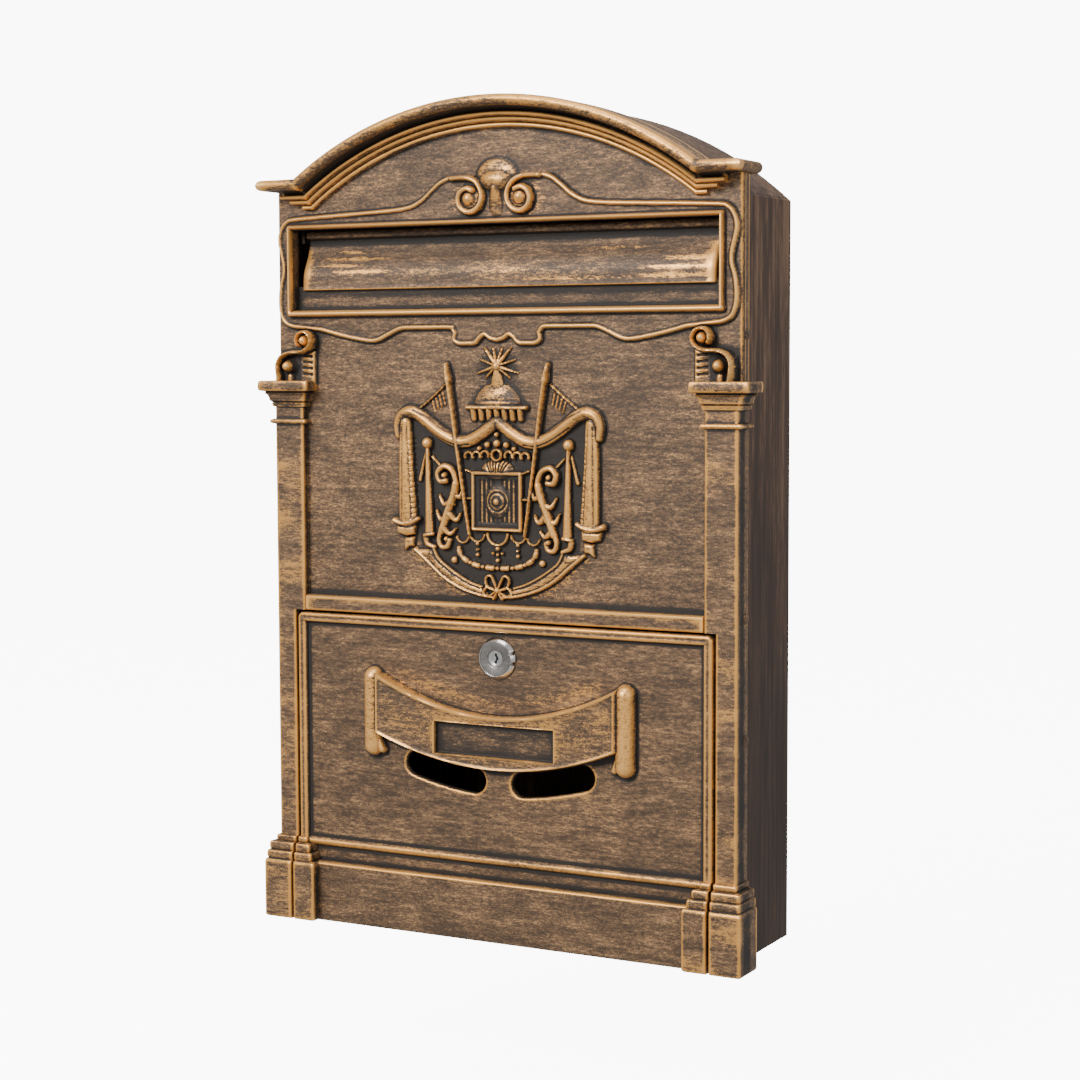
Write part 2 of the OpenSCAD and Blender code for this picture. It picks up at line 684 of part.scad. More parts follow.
// Middle line of a viewing slot, which follows the banner above it
view_run = [for (i = [0:8]) let (x = 7.3 + view_h / 2 + i / 8 * (45.2 - view_h))
    [x, banner_low - 6.9 + 12.6 * pow(x / 63, 2)]];

// Outline of a slot of width w with round ends along a run of points
function slot_outline(p, w) = let (n = len(p) - 1,
        a0 = atan2(across(heading(p, 0))[1], across(heading(p, 0))[0]),
        a1 = atan2(across(heading(p, n))[1], across(heading(p, n))[0]))
    concat([for (a = [180:-15:0]) p[0] + w / 2 * [cos(a0 + a), sin(a0 + a)]],
        [for (i = [1:n - 1]) p[i] + across(heading(p, i)) * w / 2],
        [for (a = [0:-15:-180]) p[n] + w / 2 * [cos(a1 + a), sin(a1 + a)]],
        [for (i = [n - 1:-1:1]) p[i] - across(heading(p, i)) * w / 2]);

module view_slots() slab(d_door_back - 1, d_ped) both_sides()
    polygon(slot_outline(view_run, view_h));

roll_r = 5.5;
module banner() {
    d_banner = d_panel + banner_relief - 1;
    difference() {
        slab(d_panel - 0.5, d_banner) polygon(concat(
            [for (x = banner_xs) [x, banner_edge(x, false)]],
            [for (i = [len(banner_xs) - 1:-1:0]) [banner_xs[i], banner_edge(banner_xs[i], true)]]));
        slab(d_banner - 1.6, d_banner + 1) translate([-name_w / 2, name_z - name_h / 2])
            square([name_w, name_h]);
    }
    both_sides() translate([banner_half, roll_r - 0.6 - d_panel - banner_relief, name_z - 12.1])
        cylinder(r = roll_r, h = 42.8);
}

module door_casting() color(bronze) on_wall() difference() {
    union() {
        block([-door_half, d_door_back, 0], [door_half, d_panel, door_top]);
        difference() {
            block([-door_half, d_panel - 0.5, ring_top - 2.5], [door_half, d_door_face, door_top]);
            block([door_border - door_half, d_panel - 1, ring_top + 0.8],
                  [door_half - door_border, d_door_face + 1, door_top - door_border]);
        }
        block([-door_half + inner_ped_w - 1, d_door_back, 0],
              [door_half - inner_ped_w + 1, d_skirt, ped_h + 0.5]);
        both_sides() pedestal(door_half - inner_ped_w, door_half, d_door_back, 0.6, 0);
        banner();
    }
    block([inner_ped_w + 2 - door_half, d_door_back - 1, hinge_z + 9],
          [door_half - inner_ped_w - 2, d_skirt - cast_wall, ped_h - cast_wall]);
    both_sides() block([door_half - inner_ped_w + cast_wall, d_door_back - 1, hinge_z + 9],
          [door_half - cast_wall, d_ped - cast_wall, ped_h - cast_wall]);
    hinge_bores(door_half - pin_in_door - 0.5, door_half + 1, pin_d + 2 * pin_clearance);
    view_slots();
    d_bar(d_door_back - 1, d_panel + 1, 0, lock_z, barrel_d + 0.2);
}

module hinge_pins() color(steel) on_wall()
    hinge_bores(door_half - pin_in_door, jamb_in + pin_in_frame, pin_d);

// ---- Cam lock, with the cam at rest pointing right (unlocked) ----

module lock_housing() color(chrome) on_wall() difference() {
    union() {
        translate([0, -d_panel, lock_z]) rotate([90, 0, 0]) rotate_extrude()
            polygon([[0, 0], [lock_head_d / 2, 0], [lock_head_d / 2, lock_head_t - 1.1],
                [lock_head_d / 2 - 1.6, lock_head_t], [0, lock_head_t]]);
        d_bar(d_barrel_back, d_panel + 0.01, 0, lock_z, barrel_d);
    }
    d_bar(d_barrel_back - 1, d_lock_front + 1, 0, lock_z, plug_d + 2 * plug_clearance);
}

module lock_washer() color(steel) on_wall() difference() {
    d_bar(d_door_back - washer_t, d_door_back, 0, lock_z, lock_head_d + 2);
    d_bar(d_door_back - 2, d_door_back + 1, 0, lock_z, barrel_d + 0.2);
}

module lock_nut() color(brass) on_wall() difference() {
    translate([0, washer_t + nut_t - d_door_back, lock_z]) rotate([90, 0, 0])
        cylinder(d = (barrel_d + 4.6) / cos(30), h = nut_t, $fn = 6);
    d_bar(d_door_back - 9, d_door_back + 1, 0, lock_z, barrel_d + 0.2);
}

// Wafers stand in slots across the plug, and the keyway passes through them
wafer_t = 0.9;
wafer_w = 4.2;
wafer_n = 5;
wafer_h = plug_d - 1.6;
wafer_pitch = 1.9;
module wafer_places() for (i = [0:wafer_n - 1])
    translate([0, 2.6 + i * wafer_pitch - d_lock_front, lock_z]) children();

module lock_plug() color(chrome) on_wall() difference() {
    union() {
        d_bar(d_barrel_back - 0.1, d_lock_front - 0.2, 0, lock_z, plug_d);
        block([-shank_w / 2, d_cam_back - 0.1, lock_z - shank_w / 2],
              [shank_w / 2, d_barrel_back, lock_z + shank_w / 2]);
    }
    wafer_places() translate([-wafer_w / 2 - 0.05, -0.05, -plug_d])
        cube([wafer_w + 0.1, wafer_t + 0.1, 2 * plug_d]);
    block([-0.8, d_lock_front - 13, lock_z - plug_d * 0.34],
          [0.8, d_lock_front + 1, lock_z + plug_d * 0.34]);
    d_bar(d_cam_back - 1, d_cam_back + 4, 0, lock_z, 3);
}

module lock_wafers() color(brass) on_wall() wafer_places() difference() {
    translate([-wafer_w / 2, 0, -wafer_h / 2]) cube([wafer_w, wafer_t, wafer_h]);
    translate([-1, -1, -wafer_h * 0.34]) cube([2, wafer_t + 2, wafer_h * 0.68]);
}

module lock_cam() color(steel) on_wall() difference() {
    slab(d_cam_back, d_cam_front) translate([0, lock_z]) union() {
        circle(d = barrel_d);
        translate([0, -barrel_d * 0.42]) square([cam_reach, barrel_d * 0.84]);
    }
    block([-shank_w / 2 - 0.05, d_cam_back - 1, lock_z - shank_w / 2 - 0.05],
          [shank_w / 2 + 0.05, d_cam_front + 1, lock_z + shank_w / 2 + 0.05]);
}

module cam_washer() color(steel) on_wall() difference() {
    d_bar(d_cam_back - 0.9, d_cam_back - 0.1, 0, lock_z, shank_w + 5);
    d_bar(d_cam_back - 2, d_cam_back, 0, lock_z, 3.2);
}

module cam_screw() color(steel) on_wall() {
    d_bar(d_cam_back - 2.9, d_cam_back - 0.9, 0, lock_z, 7);
    d_bar(d_cam_back - 1, d_cam_back + 3.6, 0, lock_z, 2.9);
}

back_panel();
left_side();
right_side();
roof_sheet();
floor_panel();
front_casting();
housing_rivets();
back_rivets();
slot_flap();
flap_rod();
rod_clips();
clip_screws();
rod_caps();
door_casting();
hinge_pins();
lock_housing();
lock_washer();
lock_nut();
lock_plug();
lock_wafers();
lock_cam();
cam_washer();
cam_screw();
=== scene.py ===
"""Looks of a wall letterbox with an arched cast front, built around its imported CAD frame.

Lengths are millimetres until place() turns them into the frame's metres: x to the right,
d out from the wall and z up from the foot of the casting.
"""

import math

import bpy
import numpy as np
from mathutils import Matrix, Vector
from mathutils.geometry import delaunay_2d_cdt


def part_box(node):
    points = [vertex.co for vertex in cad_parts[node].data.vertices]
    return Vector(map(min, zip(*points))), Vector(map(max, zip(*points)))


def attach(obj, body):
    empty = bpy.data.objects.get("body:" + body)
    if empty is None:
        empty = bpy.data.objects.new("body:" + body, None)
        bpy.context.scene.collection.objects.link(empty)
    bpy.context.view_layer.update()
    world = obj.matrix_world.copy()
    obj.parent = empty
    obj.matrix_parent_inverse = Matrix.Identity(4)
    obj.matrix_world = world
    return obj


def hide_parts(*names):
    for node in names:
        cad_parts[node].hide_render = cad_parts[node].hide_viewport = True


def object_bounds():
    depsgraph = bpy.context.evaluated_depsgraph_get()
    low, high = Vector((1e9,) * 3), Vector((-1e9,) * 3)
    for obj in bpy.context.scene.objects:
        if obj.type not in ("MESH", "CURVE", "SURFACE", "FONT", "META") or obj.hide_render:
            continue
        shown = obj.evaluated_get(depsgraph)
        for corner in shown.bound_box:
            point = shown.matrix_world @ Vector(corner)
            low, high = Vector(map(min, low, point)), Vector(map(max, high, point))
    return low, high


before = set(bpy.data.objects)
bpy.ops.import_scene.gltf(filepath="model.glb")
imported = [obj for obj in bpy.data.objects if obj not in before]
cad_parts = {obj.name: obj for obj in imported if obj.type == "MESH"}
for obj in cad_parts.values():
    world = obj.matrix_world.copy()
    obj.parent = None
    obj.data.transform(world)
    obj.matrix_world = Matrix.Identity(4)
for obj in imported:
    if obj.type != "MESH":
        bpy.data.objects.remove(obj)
cad_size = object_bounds()

MM = 0.001
FOOT = cad_size[0].z
SIDES = ((-1, "left"), (1, "right"))


def place(x, d, z):
    """Points in the frame, in metres, from x, distance off the wall and height."""
    x, d, z = np.broadcast_arrays(np.asarray(x, float), d, z)
    return np.stack([x * MM, -d * MM, z * MM + FOOT], -1)


def span(node):
    """Lowest and highest corner of a CAD node as (x, d, z) in millimetres."""
    low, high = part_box(node)
    return ((low.x / MM, -high.y / MM, (low.z - FOOT) / MM),
            (high.x / MM, -low.y / MM, (high.z - FOOT) / MM))


# ---- Sizes of the casting ----

CAST_HIGH = span("front_casting")[1]
DOOR_HIGH = span("door_casting")[1]
BODY_HALF = span("right_side")[1][0]
TOTAL_H = CAST_HIGH[2]
TIP_X = 131.6
D_EDGE = 50.0
D_FACE = 58.0
D_BACK = 54.6
D_COLUMN = 62.5
D_CORNICE = CAST_HIGH[1]
D_SILL = 55.3
COLUMN_IN = 110.6
JAMB_IN = 116.4
CROSSBAR_Z = 158.4
PANEL_Z = 166.4
CAPITAL_Z = 274.4
SHOULDER_Z = 373.0
TIP_Z = 374.4
ARCH_R = 186.82
ARCH_C = TOTAL_H - ARCH_R
SLOT_OUT, SLOT_IN = 119.5, 117.1
SLOT_BOTTOM, SLOT_TOP = 306.2, 352.2
SILL_BEAD = 3.3
PEDESTAL_TOP = 42.0
SKIN = 0.04  # sets one face just inside another, so that no two lie in the same plane
OPENING_Z, OPENING_TOP = 321.5, 349.8

# ---- Curves ----


def smooth(points, steps=8):
    """A smooth run through the points (Catmull-Rom), steps pieces to a span."""
    p = np.array(points, float)
    p = np.vstack([p[:1], p, p[-1:]])
    t = np.linspace(0, 1, steps, endpoint=False)[:, None]
    run = [
        0.5 * (2 * b + (c - a) * t + (2 * a - 5 * b + 4 * c - d) * t**2
               + (3 * b - a - 3 * c + d) * t**3)
        for a, b, c, d in zip(p, p[1:], p[2:], p[3:])
    ]
    return np.vstack(run + [p[-1:]])


def arc(cx, cz, r, start, stop, steps=16):
    """Points of an arc; the radius may be a pair, from its start to its stop."""
    a = np.radians(np.linspace(start, stop, steps + 1))
    radius = np.linspace(*np.broadcast_to(r, 2), steps + 1)
    return np.stack([cx + radius * np.cos(a), cz + radius * np.sin(a)], -1)


def mirrored(points):
    return np.array(points, float) * (-1, 1)


def rect(x0, z0, x1, z1):
    """Corners of a rectangle."""
    return [(x0, z0), (x1, z0), (x1, z1), (x0, z1)]


def step_up(t):
    """0 below 0, 1 above 1, smooth between."""
    t = np.clip(t, 0, 1)
    return t * t * (3 - 2 * t)


def close_to(gap, width):
    """1 where a distance is 0, falling smoothly to 0 at a width."""
    return step_up(1 - np.abs(gap) / width)


def hump(gap, width):
    """1 where a distance is 0, falling to 0 at a width along a half circle."""
    return np.sqrt(np.clip(1 - (gap / width) ** 2, 0, 1))


def quarter(t):
    """0 at 0 and 1 at 1, rising along a quarter of a circle."""
    return np.sqrt(1 - (1 - t) ** 2)


def grid_lines(low, high, pitch, marks=(), near=(0.3, 0.8)):
    """Grid lines from low to high: a pitch, or bands of (limit, pitch), closer round marks."""
    bands = [(high, pitch)] if np.isscalar(pitch) else pitch
    at, lines = low, [low]
    for limit, gap in bands:
        count = max(1, round((limit - at) / gap))
        lines += list(np.linspace(at, limit, count + 1)[1:])
        at = limit
    keep = [v for v in lines if all(abs(v - m) > near[-1] * 1.3 for m in marks)]
    for m in marks:
        keep += [m] + [m + s * n for n in near for s in (-1, 1)]
    keep = np.unique(np.round([v for v in keep if low <= v <= high] + [low, high], 4))
    return keep[np.r_[True, np.diff(keep) > 0.05]]


def both_halves(right):
    """Grid lines of the whole width from those of its right half."""
    return np.r_[-right[:0:-1], right]


# ---- Relief: the distance off the wall as a function of x and z ----


class Relief:
    """A height map: H is the distance off the wall over a grid of x and z."""

    def __init__(self, xs, zs, level):
        self.xs = xs
        self.X, self.Z = np.meshgrid(xs, zs, indexing="ij")
        self.H = np.full(self.X.shape, float(level))
        self.soot_and_shade = np.zeros(self.X.shape)
        self.rub_and_light = np.zeros(self.X.shape)

    def window(self, points, margin):
        low, high = np.min(points, 0) - margin, np.max(points, 0) + margin
        i = np.searchsorted(self.xs, (low[0], high[0]))
        rows = np.flatnonzero((self.Z.max(0) >= low[1]) & (self.Z.min(0) <= high[1]))
        return slice(*i), slice(*((rows[0], rows[-1] + 1) if len(rows) else (0, 0)))

    def distance(self, points, part):
        """Distance to a run of points, and the share of the way along it."""
        x, z = self.X[part], self.Z[part]
        best, along = np.full(x.shape, 1e9), np.zeros(x.shape)
        p = np.asarray(points, float)
        length = np.r_[0, np.cumsum(np.hypot(*np.diff(p, axis=0).T))]
        for a, b, start, stop in zip(p, p[1:], length, length[1:]):
            v = b - a
            t = ((x - a[0]) * v[0] + (z - a[1]) * v[1]) / max(v @ v, 1e-12)
            t = np.clip(t, 0, 1)
            gap = np.hypot(x - a[0] - t * v[0], z - a[1] - t * v[1])
            nearer = gap < best
            best = np.where(nearer, gap, best)
            along = np.where(nearer, (start + t * (stop - start)) / length[-1], along)
        return best, along

    def inside(self, outline, part):
        """Signed distance to a closed outline, positive inside it."""
        x, z = self.X[part], self.Z[part]
        p = np.asarray(outline, float)
        gap, _ = self.distance(np.vstack([p, p[:1]]), part)
        odd = np.zeros(x.shape, bool)
        for a, b in zip(p, np.roll(p, -1, 0)):
            crosses = (a[1] > z) != (b[1] > z)
            with np.errstate(divide="ignore", invalid="ignore"):
                odd ^= crosses & (x < a[0] + (z - a[1]) / (b[1] - a[1]) * (b[0] - a[0]))
        return np.where(odd, gap, -gap)

    def raise_to(self, part, chosen, level):
        """Raises the chosen points of a part to a level, where that is higher."""
        self.H[part] = np.where(chosen, np.maximum(self.H[part], level), self.H[part])

    def ridge(self, points, half, top, base=D_FACE, sharp=1.0):
        """A rounded bar along a run; half width and top height may be (start, stop)."""
        h0, h1 = np.broadcast_to(half, 2)
        t0, t1 = np.broadcast_to(top, 2)
        part = self.window(points, max(h0, h1))
        gap, along = self.distance(points, part)
        share = np.clip(1 - (gap / (h0 + (h1 - h0) * along)) ** 2, 0, 1)
        self.raise_to(part, share > 0,
                      base + (t0 + (t1 - t0) * along) * share ** (0.5 * sharp))

    def border(self, outline, half, top, base=D_FACE):
        """A rounded bar along each side of an outline."""
        for a, b in zip(outline, np.roll(outline, -1, 0)):
            self.ridge([a, b], half, top, base)

    def pad(self, outline, top, base=D_FACE, soft=1.0):
        """A raised flat patch with a rounded rim of width soft."""
        part = self.window(outline, 0.5)
        depth = np.clip(self.inside(outline, part) / soft, 0, 1)
        self.raise_to(part, depth > 0, base + top * quarter(depth))

    def dome(self, x, z, rx, rz, top, base=D_FACE, power=0.5):
        """A rounded boss with an elliptic outline."""
        part = self.window([(x - rx, z - rz), (x + rx, z + rz)], 0)
        share = 1 - ((self.X[part] - x) / rx) ** 2 - ((self.Z[part] - z) / rz) ** 2
        self.raise_to(part, share > 0, base + top * np.clip(share, 0, 1) ** power)

    def sink(self, outline, level, soft=0.6):
        """Lowers a patch to a level."""
        part = self.window(outline, soft)
        depth = step_up(self.inside(outline, part) / soft + 0.5)
        lowered = self.H[part] * (1 - depth) + level * depth
        self.H[part] = np.where(depth > 0, np.minimum(self.H[part], lowered), self.H[part])

    def groove(self, points, half, deep):
        """A rounded groove along a run."""
        part = self.window(points, half)
        gap, _ = self.distance(points, part)
        self.H[part] -= deep * hump(gap, half)

    def darken(self, outline, amount, soft):
        """Dark patina inside an outline, fading over soft; at the slot and round the lock it is
        painted shade.
        """
        part = self.window(outline, soft)
        shade = amount * step_up(self.inside(outline, part) / soft + 0.5)
        self.soot_and_shade[part] = np.maximum(self.soot_and_shade[part], shade)

    def shadow(self, points, half, amount):
        """Painted shadow along a run, kept with the dark patina."""
        part = self.window(points, half)
        gap, _ = self.distance(points, part)
        self.soot_and_shade[part] = np.maximum(self.soot_and_shade[part], amount * close_to(gap, half))

    def gild(self, points, half, amount):
        """A rubbed bright patch along a run."""
        part = self.window(points, half)
        gap, _ = self.distance(points, part)
        self.rub_and_light[part] = np.maximum(self.rub_and_light[part], amount * close_to(gap, half))


# ---- Meshes ----


def box_blur(a, reach, axis, wrap):
    """Mean over each point and reach points on either side of it, along one axis."""
    pad = [(0, 0)] * a.ndim
    pad[axis] = (reach, reach)
    b = np.pad(a, pad, mode="wrap" if wrap else "edge")
    total = np.cumsum(b, axis)
    first = np.take(total, range(2 * reach, b.shape[axis]), axis)
    lead = np.zeros_like(np.take(total, [0], axis))
    last = np.concatenate(
        [lead, np.take(total, range(0, b.shape[axis] - 2 * reach - 1), axis)], axis)
    return (first - last) / (2 * reach + 1)


def blurred(a, reach, wrap=(False, False)):
    """A soft blur: two rounds of the mean along both axes."""
    for _ in range(2):
        for axis in (0, 1):
            if a.shape[axis] > 2 * reach + 1:
                a = box_blur(a, reach, axis, wrap[axis])
    return a


def wear_of(P, wrap=(False, False), reach=(1, 5)):
    """How far each grid point stands proud of its blurred surroundings, near and wide."""
    along = [np.gradient(np.pad(P, [(1, 1) if a == k else (0, 0) for a in range(3)],
                                mode="wrap" if wrap[k] else "edge"), axis=k)
             for k in (0, 1)]
    u, v = along[0][1:-1], along[1][:, 1:-1]
    n = np.cross(u, v)
    n /= np.maximum(np.linalg.norm(n, axis=-1, keepdims=True), 1e-12)
    return [np.sum(n * (P - blurred(P, r, wrap)), -1) / MM for r in reach]


def mesh_object(name, verts, faces, wear=None, smooth_angle=50):
    """A mesh object; faces is a list of (n, k) index arrays; wear holds point values."""
    mesh = bpy.data.meshes.new(name)
    counts = np.concatenate([np.full(len(f), f.shape[1]) for f in faces])
    corners = np.concatenate([f.ravel() for f in faces]).astype(np.int32)
    starts = np.r_[0, np.cumsum(counts)[:-1]].astype(np.int32)
    mesh.vertices.add(len(verts))
    mesh.vertices.foreach_set("co", np.asarray(verts, np.float32).ravel())
    mesh.loops.add(len(corners))
    mesh.loops.foreach_set("vertex_index", corners)
    mesh.polygons.add(len(counts))
    mesh.polygons.foreach_set("loop_start", starts)
    mesh.update(calc_edges=True)
    mesh.validate()
    for key, values in (wear or {}).items():
        layer = mesh.attributes.new(key, "FLOAT", "POINT")
        layer.data.foreach_set("value", np.asarray(values, np.float32))
    mesh.shade_smooth()
    mesh.set_sharp_from_angle(angle=math.radians(smooth_angle))
    obj = bpy.data.objects.new(name, mesh)
    bpy.context.scene.collection.objects.link(obj)
    return obj


def finish_piece(obj, body, slot, material, *nodes):
    """Rides a body, takes a finish and may stand for CAD nodes."""
    obj.data.materials.append(material)
    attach(obj, body)
    if nodes:
        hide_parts(*nodes)
    return obj


def solid_faces(hole):
    """Quads and corner triangles of a grid; hole marks points 2 inside and 1 on the edge."""
    index = np.arange(hole.size).reshape(hole.shape)
    quads = np.stack([index[:-1, :-1], index[1:, :-1], index[1:, 1:], index[:-1, 1:]], -1)
    marks = hole.ravel()[quads]
    lost = (marks == 2).sum(-1)
    kept = (lost == 0) & ~(marks == 1).all(-1)
    corner = (lost == 1) & (marks == 0).any(-1)
    ring, at = quads[corner], np.argmax(marks[corner] == 2, -1)
    rows = np.arange(len(ring))
    tris = np.stack([ring[rows, (at + k) % 4] for k in (1, 2, 3)], -1)
    return quads[kept], tris, kept | corner


def open_sides(faces, size):
    """Sides that belong to one face only, as pairs of point numbers below size."""
    sides = np.concatenate([f[:, [a, (a + 1) % f.shape[1]]] for f in faces
                            for a in range(f.shape[1])])
    code = np.sort(sides, 1) @ [size, 1]
    _, first, count = np.unique(code, return_index=True, return_counts=True)
    return sides[first[count == 1]]


def covered(points, X, Z, kept):
    """Whether each point lies over a kept cell of the grid."""
    i = np.clip(np.searchsorted(X[:, 0], points[:, 0]) - 1, 0, kept.shape[0] - 1)
    low, high = Z[i, 0], Z[i, -1]
    ok = (points[:, 1] >= low - 1e-6) & (points[:, 1] <= high + 1e-6)
    k = np.array([np.searchsorted(Z[a], z) - 1 for a, z in zip(i, points[:, 1])])
    return ok & kept[i, np.clip(k, 0, kept.shape[1] - 1)]


def rear_faces(flat, links, X, Z, kept):
    """Triangles over the kept cells of the grid that close its flat back."""
    _, _, rear, _, _, _ = delaunay_2d_cdt([Vector(v) for v in flat], links.tolist(), [], 0, 1e-9)
    rear = np.array(rear)
    rear = rear[covered(flat[rear].mean(1) / MM - (0, FOOT / MM), X, Z, kept)]
    a, b, c = (flat[rear[:, k]] for k in range(3))
    turn = np.cross(b - a, c - a)
    rear, turn = rear[np.abs(turn) > 1e-14], turn[np.abs(turn) > 1e-14]
    rear[turn > 0] = rear[turn > 0][:, ::-1]
    return rear


def relief_solid(name, relief, back, hole=None, warp=None):
    """A closed solid: the relief in front, walls all round it and a flat back."""
    X, Z = (relief.X, relief.Z) if warp is None else warp(relief.X, relief.Z)
    P = place(X, relief.H, Z)
    hole = np.zeros(X.shape, int) if hole is None else hole
    quads, tris, kept = solid_faces(hole)
    rim = open_sides((quads, tris), X.size)
    used, where = np.unique(np.concatenate([quads.ravel(), tris.ravel(), rim.ravel()]),
                            return_inverse=True)
    cut = (quads.size, quads.size + tris.size)
    quads, tris, rim = (part.reshape(-1, k) for part, k in
                        zip(np.split(where.ravel(), cut), (4, 3, 2)))
    front = P.reshape(-1, 3)[used]
    edge_ids = np.unique(rim)
    behind = front[edge_ids].copy()
    behind[:, 1] = -back * MM
    to_back = np.full(len(front), -1)
    to_back[edge_ids] = len(front) + np.arange(len(edge_ids))
    walls = np.stack([rim[:, 1], rim[:, 0], to_back[rim[:, 0]], to_back[rim[:, 1]]], -1)
    rear = rear_faces(behind[:, [0, 2]], to_back[rim] - len(front), X, Z, kept)
    near, wide = wear_of(P)
    flush = np.zeros(len(edge_ids))
    # The walls and back take a fixed 0.9 of dark: painted shade on the solid's sides.
    wear = {
        "edge": np.r_[near.ravel()[used], flush],
        "lift": np.r_[wide.ravel()[used], flush],
        "soot_and_shade": np.r_[relief.soot_and_shade.ravel()[used], flush + 0.9],
        "rub_and_light": np.r_[relief.rub_and_light.ravel()[used], flush],
    }
    faces = [quads, tris, walls, rear + len(front)]
    return mesh_object(name, np.vstack([front, behind]), [f for f in faces if len(f)], wear)


def loft(name, P, soot_and_shade=0.0, rub_and_light=0.0, gilt_and_light=0.0, angle=50, reach=(2, 7), tube=False):
    """A closed solid from rings P[i, k], each ring a closed outline.

    Its ends are capped, or joined to each other in a tube. The next three arguments spread over P:
    dark patina with painted shade, streaky gilding with painted highlights and painted shade, and
    even gilding, which on the cornice's nose is painted light."""
    nu, nv = P.shape[:2]
    index = np.arange(nu * nv).reshape(nu, nv)
    rows = np.vstack([index, index[:1]]) if tube else index
    after = np.roll(rows, -1, 1)
    quads = np.stack([rows[:-1], rows[1:], after[1:], after[:-1]], -1).reshape(-1, 4)
    near, wide = wear_of(P, (tube, True), reach)
    faces = [quads] if tube else [quads, index[:1, ::-1], index[-1:]]
    a, b, c = (P.reshape(-1, 3)[quads[:, k]] - P.mean((0, 1)) for k in range(3))
    if np.sum(a * np.cross(b, c)) < 0:
        faces = [f[:, ::-1] for f in faces]
        near, wide = -near, -wide
    wear = {"edge": near.ravel(), "lift": (wide + gilt_and_light).ravel(),
            "soot_and_shade": np.broadcast_to(soot_and_shade, (nu, nv)).ravel(),
            "rub_and_light": np.broadcast_to(rub_and_light, (nu, nv)).ravel()}
    return mesh_object(name, P.reshape(-1, 3), faces, wear, angle)


def respaced(points, gap):
    """A run of points, evenly spaced about gap apart, with its corners kept."""
    p = np.asarray(points, float)
    out = [p[:1]]
    for a, b in zip(p, p[1:]):
        count = max(1, int(np.ceil(np.linalg.norm(b - a) / gap)))
        out.append(a + (b - a) * np.linspace(0, 1, count + 1)[1:, None])
    return np.vstack(out)


# ---- Materials ----


class Nodes:
    """Short calls for building one material's nodes."""

    def __init__(self, name):
        self.material = bpy.data.materials.new(name)
        self.material.use_nodes = True
        self.tree = self.material.node_tree
        self.shader = self.tree.nodes["Principled BSDF"]
        self.coords = self.add("ShaderNodeTexCoord").outputs["Object"]

    def add(self, kind, settings=(), **inputs):
        made = self.tree.nodes.new(kind)
        for key, value in dict(settings).items():
            setattr(made, key, value)
        for key, value in inputs.items():
            self.put(made.inputs[key], value)
        return made

    def put(self, socket, value):
        if isinstance(value, bpy.types.NodeSocket):
            self.tree.links.new(value, socket)
        else:
            socket.default_value = value

    def sum(self, op, *values, clamp=False):
        made = self.add("ShaderNodeMath", {"operation": op, "use_clamp": clamp})
        for socket, value in zip(made.inputs, values):
            self.put(socket, value)
        return made.outputs[0]

    def blend(self, *terms):
        """Sum of value times weight over the terms; a value may be a number."""
        total = sum(v * w for v, w in terms if not isinstance(v, bpy.types.NodeSocket))
        for value, weight in terms:
            if isinstance(value, bpy.types.NodeSocket):
                total = self.sum("MULTIPLY_ADD", value, weight, total)
        return total

    def noise(self, scale, stretch=(1, 1, 1), detail=3.0, roughness=0.6, shift=0.0):
        """Noise with features 1 / scale metres long, stretched by the three factors."""
        factors = tuple(scale / s for s in stretch)
        moved = self.add("ShaderNodeMapping", Vector=self.coords, Scale=factors,
                         Location=(shift, shift, shift))
        made = self.add("ShaderNodeTexNoise", Vector=moved.outputs[0], Scale=1.0,
                        Detail=detail, Roughness=roughness)
        return made.outputs["Fac"]

    def attribute(self, name):
        return self.add("ShaderNodeAttribute", {"attribute_name": name}).outputs["Fac"]

    def between(self, value, low, high):
        """value mapped from low..high to 0..1, with soft ends."""
        made = self.add("ShaderNodeMapRange", {"interpolation_type": "SMOOTHSTEP"})
        self.put(made.inputs["Value"], value)
        made.inputs["From Min"].default_value = low
        made.inputs["From Max"].default_value = high
        return made.outputs["Result"]

    def mix(self, amount, a, b):
        made = self.add("ShaderNodeMix", {"data_type": "RGBA"})
        self.put(made.inputs["Factor"], amount)
        for socket, value in ((made.inputs["A"], a), (made.inputs["B"], b)):
            colour = isinstance(value, tuple) and len(value) == 3
            self.put(next(s for s in made.inputs
                          if s.name == socket.name and s.type == "RGBA"),
                     (*value, 1) if colour else value)
        return next(s for s in made.outputs if s.type == "RGBA")

    def finish(self, colour, roughness, height, metallic, bump=0.3, depth=0.0003):
        self.put(self.shader.inputs["Base Color"], colour)
        self.put(self.shader.inputs["Roughness"], roughness)
        self.put(self.shader.inputs["Metallic"], metallic)
        made = self.add("ShaderNodeBump", Strength=bump, Distance=depth, Height=height)
        self.put(self.shader.inputs["Normal"], made.outputs[0])
        return self.material


BLACK = (0.008, 0.005, 0.003)
DARK = (0.052, 0.030, 0.016)
BROWN = (0.142, 0.080, 0.039)
LIGHT = (0.400, 0.222, 0.095)
GOLD = (0.700, 0.340, 0.082)
PALE = (0.880, 0.470, 0.140)
PAINT_DARK = (0.020, 0.0095, 0.005)
PAINT = (0.062, 0.031, 0.017)
PAINT_PALE = (0.185, 0.105, 0.060)


